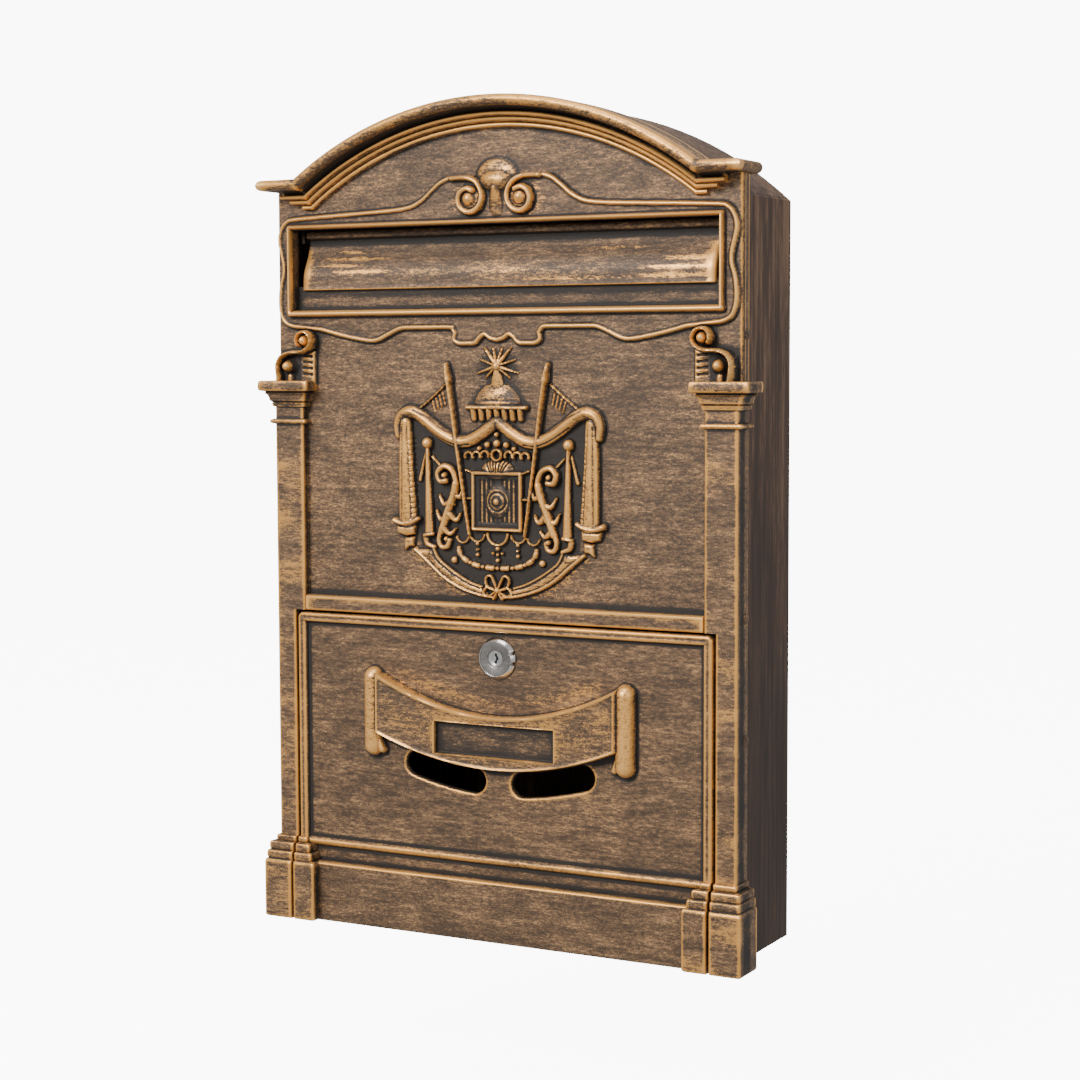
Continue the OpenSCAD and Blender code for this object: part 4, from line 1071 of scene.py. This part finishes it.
# Dark necks of a moulding: their heights, the reach of each and how dark it is.
COLUMN_NECKS = ((251.9, 255.9, 261.0, 264.0, 268.7), 1.1, 0.8)
PEDESTAL_NECKS = ((30.1, 34.2, 38.4, 41.9), 0.9, 0.75)
NO_NECKS = ((), 1.0, 0.0)


def wrapped(name, levels, root_in, root_out, body, material, sign=1, round_r=0.9,
            necks=NO_NECKS, pitch=0.7):
    """A moulding wrapped round three sides of a block. levels lists (z, x_in, x_out, d)."""
    rows = respaced(np.array(levels, float), pitch)
    corner, side, inside = 6, 14, 9
    turn = np.radians(np.linspace(0, 90, corner))
    rings = []
    for z, x_in, x_out, d in rows:
        q = min(round_r, (x_out - x_in) / 2 - 0.1)
        outer = np.stack([x_out - q + q * np.cos(turn), d - q + q * np.sin(turn)], -1)
        inner = np.stack([x_in + q - q * np.sin(turn), d - q + q * np.cos(turn)], -1)
        rise = np.linspace(root_out, d - q, side + 1)[:-1]
        side_out = np.stack([np.full(side, x_out), rise], -1)
        front = np.stack([np.linspace(x_out - q, x_in + q, side + 2)[1:-1], np.full(side, d)], -1)
        fall = np.linspace(d - q, root_in, inside + 1)[1:]
        side_in = np.stack([np.full(inside, x_in), fall], -1)
        ring = np.vstack([side_out, outer, front, inner, side_in, [((x_in + x_out) / 2, root_in)]])
        rings.append(place(sign * ring[:, 0], ring[:, 1], z))
    P = np.stack(rings)
    arris = np.zeros(len(ring))
    arris[side:side + corner] = arris[2 * side + corner:2 * (side + corner)] = 1
    # Painted shade on the side faces: the outer return and the inner side are darkened and lose
    # their gilding.
    painted_side_shade = np.r_[np.linspace(1, 0.8, side - 2), 0.5, 0.2, np.zeros(side + 2 * corner), 0.3,
                    np.full(inside, 0.9)]
    ends = np.r_[1, 1, 1, 0.5, np.zeros(len(ring) - 8), 0.5, 1, 1, 1]
    heights, reach, depth = necks
    shade = np.zeros(len(rows))
    for z in heights:
        shade += depth * close_to(rows[:, 0] - z, reach)
    shade = np.maximum(np.clip(shade, 0, 1)[:, None], 1.1 * painted_side_shade)
    obj = loft(name, P, shade, -1.7 * painted_side_shade - 6 * ends, 0.9 * arris, reach=(1, 4))
    return finish_piece(obj, body, "bronze_casting", material)


def column_levels():
    """Shaft with its ring and capital, from the pedestal up."""
    def row(z, inner, outer, front):
        return (z, COLUMN_IN - inner, BODY_HALF + outer, D_COLUMN + front)
    rows = [row(CROSSBAR_Z + SKIN, 0, 0, 0), row(251.6, 0, 0, 0)]
    for w in np.linspace(0, math.pi, 9):
        rows.append(row(252.6 + 2.6 * (1 - math.cos(w)) / 2, 2.0 * math.sin(w) + 0.2,
                        2.7 * math.sin(w) + 0.1, 1.5 * math.sin(w) + 0.1))
    rows += [row(255.6, 0, 0, 0), row(261.2, 0, 0, 0), row(261.4, 1.2, 1.3, 0.8),
             row(263.2, 1.6, 1.8, 1.1), row(263.4, 1.0, 1.2, 0.7), row(264.3, 2.0, 2.4, 1.8)]
    for w in np.linspace(0, math.pi / 2, 7):
        rows.append(row(264.4 + 3.6 * math.sin(w), 2.2 + 2.0 * (1 - math.cos(w)),
                        2.6 + 2.4 * (1 - math.cos(w)), 2.0 + 1.6 * (1 - math.cos(w))))
    rows += [row(268.3, 3.4, 4.4, 3.2), row(268.9, 3.2, 4.2, 3.0)]
    for w in np.linspace(0, math.pi, 11):
        bulge = abs(math.sin(w)) ** 0.45
        rows.append(row(269.2 + 5.2 * (1 - math.cos(w)) / 2, 4.6 + 1.4 * bulge,
                        5.8 + 1.5 * bulge, 4.2 + 1.4 * bulge))
    return rows


def jamb_levels():
    return [(PEDESTAL_TOP, JAMB_IN, BODY_HALF, D_COLUMN),
            (CROSSBAR_Z + SKIN, JAMB_IN, BODY_HALF, D_COLUMN)]


def pedestal_levels(x_in, x_out, grow_in, grow_out, shares):
    """Plinth with three rounded rings above it; shares are the rings' parts of the growth."""
    def row(z, g, front):
        return (z, x_in - grow_in * g, x_out + grow_out * g, front)
    rows = [row(SKIN, 0.9, 69.2), row(0.8, 1, 70.0), row(28.6, 1, 70.0)]
    rows += [row(29.6, 0.95, 69.6), row(30.0, 0.85, 68.6)]
    tiers = ((30.4, 34.2), (34.6, 38.6), (39.0, 41.8))
    for (low, high), g, front in zip(tiers, shares, (69.0, 67.6, 65.0)):
        for w in np.linspace(0.15, math.pi - 0.35, 7):
            bulge = math.sin(w) ** 0.4
            rows.append(row(low + (high - low) * (1 - math.cos(w)) / 2,
                            max(g - 0.14 + 0.14 * bulge, 0), front - 1.0 + bulge))
    rows.append(row(PEDESTAL_TOP, 0.0, D_COLUMN + 0.2))
    return rows


def columns():
    for sign, side in SIDES:
        wrapped(f"cast_column_{side}", column_levels(), D_BACK + SKIN, D_EDGE, "box", bronze_up,
                sign, necks=COLUMN_NECKS)
        wrapped(f"cast_jamb_{side}", jamb_levels(), D_EDGE, D_EDGE, "box", bronze_up, sign,
                pitch=2.0)
        rings = pedestal_levels(JAMB_IN, BODY_HALF, 0.0, 5.1, (0.86, 0.72, 0.2))
        wrapped(f"cast_pedestal_{side}", rings, D_EDGE, D_EDGE, "box", bronze_up, sign,
                necks=PEDESTAL_NECKS, pitch=0.6)


# ---- Door ----

DOOR_HALF = DOOR_HIGH[0]
DOOR_TOP = DOOR_HIGH[2]
DOOR_BORDER = 4.7
D_PANEL = 60.1
D_DOOR_BACK = 57.3
D_SKIRT = 64.5
RAIL_Z = 42.0
SKIRT_Z = 30.3
LOCK_Z = 140.0
NAME_Z, NAME_W, NAME_H = 99.5, 66.0, 15.6
ROLL_X = 70.0
VIEW_H = 12.4
CUT_REACH = 0.29  # just over half the pitch of the door's grid


def banner_low(x):
    """Height of the ribbon's lower edge."""
    return 84.9 + 12.6 * (x / 63) ** 2


def banner_high(x):
    """Height of the ribbon's upper edge."""
    return 111.8 + 17.6 * (x / 66) ** 2


def view_run():
    """Middle line of the right viewing slot."""
    x = np.linspace(7.3 + VIEW_H / 2, 52.5 - VIEW_H / 2, 9)
    return np.stack([x, banner_low(0) - 6.9 + 12.6 * (x / 63) ** 2], -1)


def draw_banner(r):
    """Bowed ribbon that rises towards its two rolled ends, with a plain name recess."""
    x = np.linspace(-67, 67, 61)
    outline = np.vstack([np.stack([x, banner_low(x)], -1),
                         np.stack([x, banner_high(x)], -1)[::-1]])
    part = r.window(outline, 1)
    gap = r.inside(outline, part)
    depth = np.clip(gap / 0.9, 0, 1)
    lip = 0.5 * np.exp(-(((gap - 1.0) / 0.8) ** 2))
    crown = 5.0 + 1.4 * (np.abs(r.X[part]) / 60) ** 2 + lip
    r.raise_to(part, gap > -0.05, D_PANEL + crown * quarter(depth))
    for edge, amount in ((banner_low, 0.5), (banner_high, 1.1)):
        r.gild(np.stack([x, edge(x)], -1), 2.2, amount)
    r.gild(np.stack([x, (banner_low(x) + banner_high(x)) / 2], -1), 16, 0.38)
    name = rect(-NAME_W / 2, NAME_Z - NAME_H / 2, NAME_W / 2, NAME_Z + NAME_H / 2)
    r.border(name, 1.0, 5.7, D_PANEL)
    r.sink(name, D_PANEL + 2.4, 0.6)
    part = r.window(name, 0)
    r.rub_and_light[part] = np.where(r.inside(name, part) > 0, 0, r.rub_and_light[part])
    r.darken(name, 0.7, 3.0)
    both_sides(r.ridge, [(ROLL_X, 92.4), (ROLL_X, 126.6)], 5.4, 6.6, D_PANEL)
    both_sides(r.ridge, [(64.9, 90.6), (66.4, 96)], (2.2, 1.4), 4.6, D_PANEL)
    both_sides(r.gild, [(ROLL_X, 90), (ROLL_X, 128)], 7, 1.7)
    for sign in (-1, 1):
        r.dome(sign * ROLL_X, 91.6, 5.2, 4.6, 6.0, D_PANEL)
    r.gild(np.stack([x * 0.8, banner_high(x * 0.8) + 6], -1), 6, 0.38)
    # Painted shadow under the ribbon's lower edge.
    r.shadow(np.stack([x, banner_low(x) - 1.6], -1), 2.6, 0.8)


def draw_door_frame(r):
    """Stepped border, sunk field, rail and skirt."""
    inner_x = DOOR_HALF - DOOR_BORDER
    inner_top = DOOR_TOP - DOOR_BORDER
    across = np.minimum(inner_x - np.abs(r.X), np.minimum(inner_top - r.Z, r.Z - RAIL_Z))
    r.H = D_COLUMN - (D_COLUMN - D_PANEL) * step_up(across / 0.9 + 0.5)
    for gap, half, top in ((1.25, 1.1, 0.35), (3.4, 1.0, 0.5)):
        r.H += top * hump(across + gap, half) * (r.Z > RAIL_Z - 6)
    # Painted shade along the foot of the border's step into the sunk field.
    r.soot_and_shade = 0.85 * close_to(across - 0.9, 2.2)
    r.H = np.where(r.Z < RAIL_Z, D_PANEL + 2.6 * hump(r.Z - (RAIL_Z - 2), 2.1), r.H)
    groove = (r.Z < 37.9) & (r.Z > SKIRT_Z)
    r.H = np.where(groove, D_PANEL, r.H)
    skirt = np.clip((SKIRT_Z - r.Z) / 1.2, 0, 1)
    r.H = np.where(r.Z <= SKIRT_Z, D_PANEL + (D_SKIRT - D_PANEL) * quarter(skirt), r.H)
    for z, reach, amount in ((36.6, 2.4, 0.9), (31.6, 2.0, 0.5)):
        r.soot_and_shade = np.maximum(r.soot_and_shade, amount * close_to(r.Z - z, reach))
    r.rub_and_light = -0.6 * step_up((SKIRT_Z - 1 - r.Z) / 2)
    rounded_edge(r, np.minimum(DOOR_HALF - np.abs(r.X), DOOR_TOP - r.Z), 0.9)


def door_outline_warp(X, Z):
    """Rounds the door's two top corners by drawing its grid in to an arc."""
    radius = 3.0
    u = (np.abs(X) - (DOOR_HALF - radius)) / radius
    v = (Z - (DOOR_TOP - radius)) / radius
    corner = (u > 0) & (v > 0)
    shrink = np.where(corner, np.maximum(u, v) / np.maximum(np.hypot(u, v), 1e-9), 1)
    x = np.where(corner, np.sign(X) * (DOOR_HALF - radius + radius * u * shrink), X)
    z = np.where(corner, DOOR_TOP - radius + radius * v * shrink, Z)
    return x, z


def cut_slot(r, hole, run, half):
    """Moves grid points near a slot's edge onto it and marks them, and those inside."""
    part = r.window(run, half + 2)
    gap, _ = r.distance(run, part)
    signed = gap - half
    gx = np.gradient(gap, axis=0) / np.gradient(r.X[part], axis=0)
    gz = np.gradient(gap, axis=1) / np.gradient(r.Z[part], axis=1)
    near = np.abs(signed) < CUT_REACH
    size = np.maximum(gx**2 + gz**2, 0.2)
    r.X[part] -= np.where(near, signed * gx / size, 0)
    r.Z[part] -= np.where(near, signed * gz / size, 0)
    hole[part] = np.where(near, 1, np.where(signed < 0, 2, 0))


def bent_rows(X, Z):
    """Bows the grid's rows to follow the ribbon's edges, and keeps two level by the name."""
    x = np.minimum(np.abs(X), 68)
    low, high = banner_low(x) - banner_low(0), banner_high(x) - banner_high(0)
    beside = step_up((x - NAME_W / 2 - 3) / 14)
    heights = (62, banner_low(0), NAME_Z - NAME_H / 2, NAME_Z + NAME_H / 2, banner_high(0), 150)
    rises = (0, low, beside * (0.75 * low + 0.25 * high),
             beside * (0.17 * low + 0.83 * high), high, 0)
    rise = sum(up * np.interp(Z, heights, row) for up, row in zip(rises, np.eye(6)))
    return Z + rise * step_up((104 - np.abs(X)) / 30)


def door_panel():
    right = grid_lines(0, DOOR_HALF, [(77.0, 0.52), (108.0, 1.1), (DOOR_HALF, 0.5)],
                       marks=(NAME_W / 2, DOOR_HALF))
    zs = grid_lines(0, DOOR_TOP, [(28.0, 1.4), (44.0, 0.4), (66.0, 1.2), (banner_low(0), 0.52),
                                  (banner_high(0), 0.54), (134.0, 0.7), (151.0, 0.9),
                                  (DOOR_TOP, 0.45)],
                    marks=(banner_low(0) + 0.1, NAME_Z - NAME_H / 2, NAME_Z + NAME_H / 2,
                           banner_high(0) - 0.1, DOOR_TOP),
                    near=(0.2, 0.45, 0.8))
    r = Relief(both_halves(right), zs, D_PANEL)
    r.Z = bent_rows(r.X, r.Z)
    hole = np.zeros(r.X.shape, int)
    cut_slot(r, hole, view_run(), VIEW_H / 2)
    cut_slot(r, hole, view_run() * (-1, 1), VIEW_H / 2)
    draw_door_frame(r)
    draw_banner(r)
    # Painted shade on the panel round the lock head.
    r.darken(arc(0, LOCK_Z, 11, 0, 360, 24)[:-1], 0.6, 2.5)
    for sign in (-1, 1):
        run = view_run() * (sign, 1)
        r.gild(run, VIEW_H / 2 + 3, 0.9)
        part = r.window(run, VIEW_H)
        gap, _ = r.distance(run, part)
        rim = np.clip(1 - (gap - VIEW_H / 2) / 1.1, 0, 1)
        r.H[part] -= np.where(r.H[part] < D_PANEL + 1, 1.1 * (1 - np.sqrt(1 - rim**2)), 0)
        r.soot_and_shade[part] *= np.where(gap < VIEW_H / 2 + 1.8, 0.2, 1)
    obj = relief_solid("door_front", r, D_DOOR_BACK, hole, door_outline_warp)
    finish_piece(obj, "door", "bronze_casting", bronze, "door_casting")


def inner_pedestals():
    root = D_PANEL - 0.6
    for sign, side in SIDES:
        rings = pedestal_levels(110.3, DOOR_HALF - SKIN, 7.8, 0.0, (0.73, 0.49, 0.1))
        wrapped(f"door_pedestal_{side}", rings, root, root, "door", bronze_up, sign,
                necks=PEDESTAL_NECKS, pitch=0.6)


# ---- Letter flap ----


def letter_flap():
    """Bent sheet that hangs from the rod, with a rolled lip and soft ends."""
    low, high = span("slot_flap")
    half = high[0]
    run = smooth([(49.7, 344.6), (49.9, 342), (52.2, 337.3), (55.0, 332.3), (56.9, 327.5),
                  (57.3, 322), (57.5, 320.2)], 10)
    knuckle = arc(0, 0, 2.6, 215, -20, 12)
    hook = np.stack([50.0 + knuckle[:, 0], 346.9 + knuckle[:, 1]], -1)
    outer = np.vstack([hook, run])
    outer = respaced(outer, 0.8)
    heading = np.gradient(outer, axis=0)
    heading /= np.linalg.norm(heading, axis=1)[:, None]
    normal = np.stack([-heading[:, 1], heading[:, 0]], -1)
    inner = outer - normal * 1.1
    turn = np.radians(np.linspace(0, 180, 7))[1:-1]
    end, way, out = outer[-1], heading[-1], normal[-1]
    tip = np.array([end - out * 0.55 + 0.55 * (out * math.cos(a) + way * math.sin(a))
                    for a in turn])
    ring = np.vstack([outer, tip, inner[::-1]])
    xs = grid_lines(-half, half, 1.2, marks=(-half, half), near=(0.3, 0.8, 1.5, 2.5, 3.5))
    rings = []
    for x in xs:
        fade = np.clip((3.5 - (half - abs(x))) / 3.5, 0, 1)
        drop = 1.7 * (1 - math.sqrt(1 - fade**2))
        depth = drop * step_up((344 - ring[:, 1]) / 12)
        d = np.maximum(ring[:, 0] - depth, low[1] + 0.4)
        rings.append(place(x, d, ring[:, 1]))
    P = np.stack(rings)
    x, z = P[..., 0] / MM, (P[..., 2] - FOOT) / MM
    patch = np.zeros(x.shape)
    # Gold streaks that are partly rubbed gilding and partly painted highlights where the bent
    # sheet catches the light.
    gilt_and_highlight_strokes = ((-86, 338.2, 24, 1.3, 1.5), (-84, 334.8, 28, 1.6, 1.9), (-92, 331.6, 19, 1.4, 1.7),
               (-80, 328.4, 24, 1.3, 1.4), (98, 331.6, 18, 1.7, 2.2), (94, 327.4, 22, 1.6, 1.6),
               (92, 323.4, 26, 2.0, 2.3), (40, 323, 60, 1.8, 1.2), (-20, 341, 50, 1.5, 0.6),
               (60, 337, 34, 1.5, 1.1), (-113, 331, 3.0, 9, 1.2))
    for cx, cz, wide, tall, amount in gilt_and_highlight_strokes:
        patch = np.maximum(patch, amount * close_to(np.hypot((x - cx) / wide, (z - cz) / tall), 1))
    # Painted shadow over the sheet's top and knuckle, under the frame's top bead.
    shadow = 1.3 * step_up((z - 339.5) / 5.0)
    obj = loft("letter_flap", P, soot_and_shade=shadow, rub_and_light=patch - 2.0 * shadow, angle=60)
    finish_piece(obj, "flap", "bronze_sheet", bronze_flap, "slot_flap")


# ---- Lock ----


def turned(name, profile, body, material, *nodes, mark=None, tube=True):
    """A turned piece about the lock's axis: profile lists (distance, radius)."""
    a = np.linspace(0, 2 * math.pi, 120, endpoint=False)
    P = np.stack([place(r * np.cos(a), d, LOCK_Z + r * np.sin(a)) for d, r in profile])
    if mark is not None:
        P = mark(P, a)
    obj = loft(name, P, angle=35, tube=tube)
    return finish_piece(obj, body, "lock_chrome", material, *nodes)


def notched(P, angles):
    """Cuts two short notches into the right-hand side of the lock's bevel."""
    cut = sum(close_to(angles - at, 0.10) for at in (0.30, 2 * math.pi - 0.22))
    x, z = P[..., 0], P[..., 2] - (LOCK_Z * MM + FOOT)
    shrink = np.where(np.hypot(x, z) / MM > 8.6, 1 - 0.13 * cut, 1)
    P[..., 0] = x * shrink
    P[..., 2] = z * shrink + LOCK_Z * MM + FOOT
    return P


def lock():
    """Chrome head with a wide bevel, a dull face and a dished plug with a kinked keyway."""
    back, front = span("lock_housing")[0][1], span("lock_housing")[1][1]
    bore, plug_r = 4.7, 4.3
    head = [(back, bore), (back, 7.6), (back + 0.4, 8.0), (D_PANEL - 0.2, 8.0),
            (D_PANEL + 0.1, 8.2), (D_PANEL + 0.1, 10.1), (D_PANEL + 0.3, 10.3),
            (D_PANEL + 0.9, 10.3), (D_PANEL + 1.1, 10.15), (front - 0.35, 9.0),
            (front - 0.1, 8.75), (front - 0.25, 8.5), (front - 0.6, 8.4), (front - 0.6, bore)]
    turned("lock_head", head, "door", chrome, "lock_housing", mark=notched)
    face = [(front - 0.7, 3.9), (front - 0.7, 8.3), (front - 0.25, 8.3), (front - 0.1, 8.15),
            (front - 0.1, 4.6), (front - 0.2, 4.3), (front - 0.45, 4.1)]
    turned("lock_face", face, "door", dull_chrome)
    dish = front - 1.2
    plug = [(span("lock_plug")[0][1], 0.4), (span("lock_plug")[0][1], plug_r),
            (front - 1.1, plug_r), (front - 0.85, plug_r - 0.2), (front - 0.85, 3.4),
            (dish, 2.8), (dish, 0.4)]
    turned("lock_core", plug, "lock_rotor", chrome, "lock_plug", tube=False)
    keyway(dish)


def keyway(face):
    """Near-black kinked piece on the plug's face: painted shade standing for the keyway's slot."""
    shape = [(-0.7, -2.5), (0.5, -2.5), (0.7, -1.0), (1.4, -0.4), (1.4, 0.8), (0.7, 1.3),
             (0.5, 2.5), (-0.7, 2.5), (-0.5, 1.2), (0.1, 0.6), (0.1, -0.6), (-0.5, -1.2)]
    ring = respaced(shape + shape[:1], 0.4)[:-1]
    P = np.stack([place(ring[:, 0], d, LOCK_Z + ring[:, 1]) for d in (face - 0.3, face + 0.03)])
    obj = loft("lock_keyway", P, angle=35)
    finish_piece(obj, "lock_rotor", "lock_chrome", shade)


# ---- CAD nodes that stay, with their finishes ----


def dress_nodes():
    dressed = {
        paint: ("back_panel", "left_side", "right_side", "roof_sheet", "floor_panel"),
        bronze: ("housing_rivets",),
        zinc: ("back_rivets", "hinge_pins", "lock_washer", "lock_cam", "cam_washer", "cam_screw"),
        # The rod and its clips take painted shade.
        steel: ("flap_rod", "rod_clips", "clip_screws", "rod_caps"),
        brass: ("lock_nut", "lock_wafers"),
    }
    for material, names in dressed.items():
        for name in names:
            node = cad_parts[name]
            node.data.materials.clear()
            node.data.materials.append(material)


# ---- Studio ----


def camera():
    """The photo's own view: its lens, place and angles were solved from the perspective."""
    data = bpy.data.cameras.new("camera")
    data.lens, data.sensor_width = 75.7, 36.0
    data.clip_start, data.clip_end = 0.05, 20
    obj = bpy.data.objects.new("camera", data)
    bpy.context.scene.collection.objects.link(obj)
    yaw, pitch, roll = (math.radians(v) for v in (28.26, -4.6, -0.2))
    obj.location = (0.5371, -1.0153, 0.0957)
    view = Vector((-math.sin(yaw) * math.cos(pitch), math.cos(yaw) * math.cos(pitch),
                   math.sin(pitch)))
    obj.rotation_euler = view.to_track_quat("-Z", "Y").to_euler()
    obj.rotation_euler.rotate_axis("Z", roll)
    bpy.context.scene.camera = obj


def area_light(name, place_at, aim, size, power):
    data = bpy.data.lights.new(name, "AREA")
    data.shape, data.size, data.size_y = "RECTANGLE", size[0], size[1]
    data.energy = power
    obj = bpy.data.objects.new(name, data)
    bpy.context.scene.collection.objects.link(obj)
    obj.location = place_at
    obj.rotation_euler = (Vector(aim) - Vector(place_at)).to_track_quat("-Z", "Y").to_euler()


def studio():
    """White floor below the box inside a white dome, a pale world and soft lamps."""
    low = FOOT - 0.08
    radius, facets = 5, 48
    floor = mesh_object("studio_floor", [(x, y, low) for x, y in rect(-4, -4, 4, 4)],
                        [np.array([[0, 1, 2, 3]])])
    around = np.radians(np.linspace(0, 360, facets + 1)[:-1])
    rings = []
    for t in np.radians(np.linspace(-88, 88, 25)):
        out, up = radius * math.cos(t), np.full(facets, radius * math.sin(t))
        rings.append(np.stack([out * np.cos(around), out * np.sin(around), up], -1))
    dome = loft("studio_dome", np.stack(rings))
    for obj in (floor, dome):
        n = Nodes(obj.name)
        cloud = n.noise(3, (1, 1, 1), 2, 0.5)
        colour = n.mix(cloud, (0.90, 0.90, 0.90), (0.94, 0.94, 0.94))
        material = n.finish(colour, 0.9, cloud, 0.0, 0.0)
        n.put(n.shader.inputs["Emission Color"], (1, 1, 1, 1))
        n.put(n.shader.inputs["Emission Strength"], 9.0)
        obj.data.materials.append(material)
        obj.visible_diffuse = obj.visible_glossy = obj.visible_shadow = False
        obj.visible_transmission = False
    world = bpy.data.worlds.new("studio_world")
    world.use_nodes = True
    world.node_tree.nodes["Background"].inputs["Color"].default_value = (1, 1, 1, 1)
    world.node_tree.nodes["Background"].inputs["Strength"].default_value = 0.62
    bpy.context.scene.world = world
    area_light("key", (-0.6, -2.15, 1.3), (0, 0, 0), (0.9, 0.9), 74)
    area_light("fill", (1.9, -1.3, 0.5), (0, 0, 0), (1.2, 1.2), 9)
    area_light("top", (0.0, -0.5, 1.6), (0, -0.02, 0.1), (1.0, 0.6), 12)


camera()
studio()
cornice_nose()
cornice_beads()
tympanum()
upper_panel()
crest_panel()
side_rims()
columns()
door_panel()
inner_pedestals()
letter_flap()
lock()
dress_nodes()
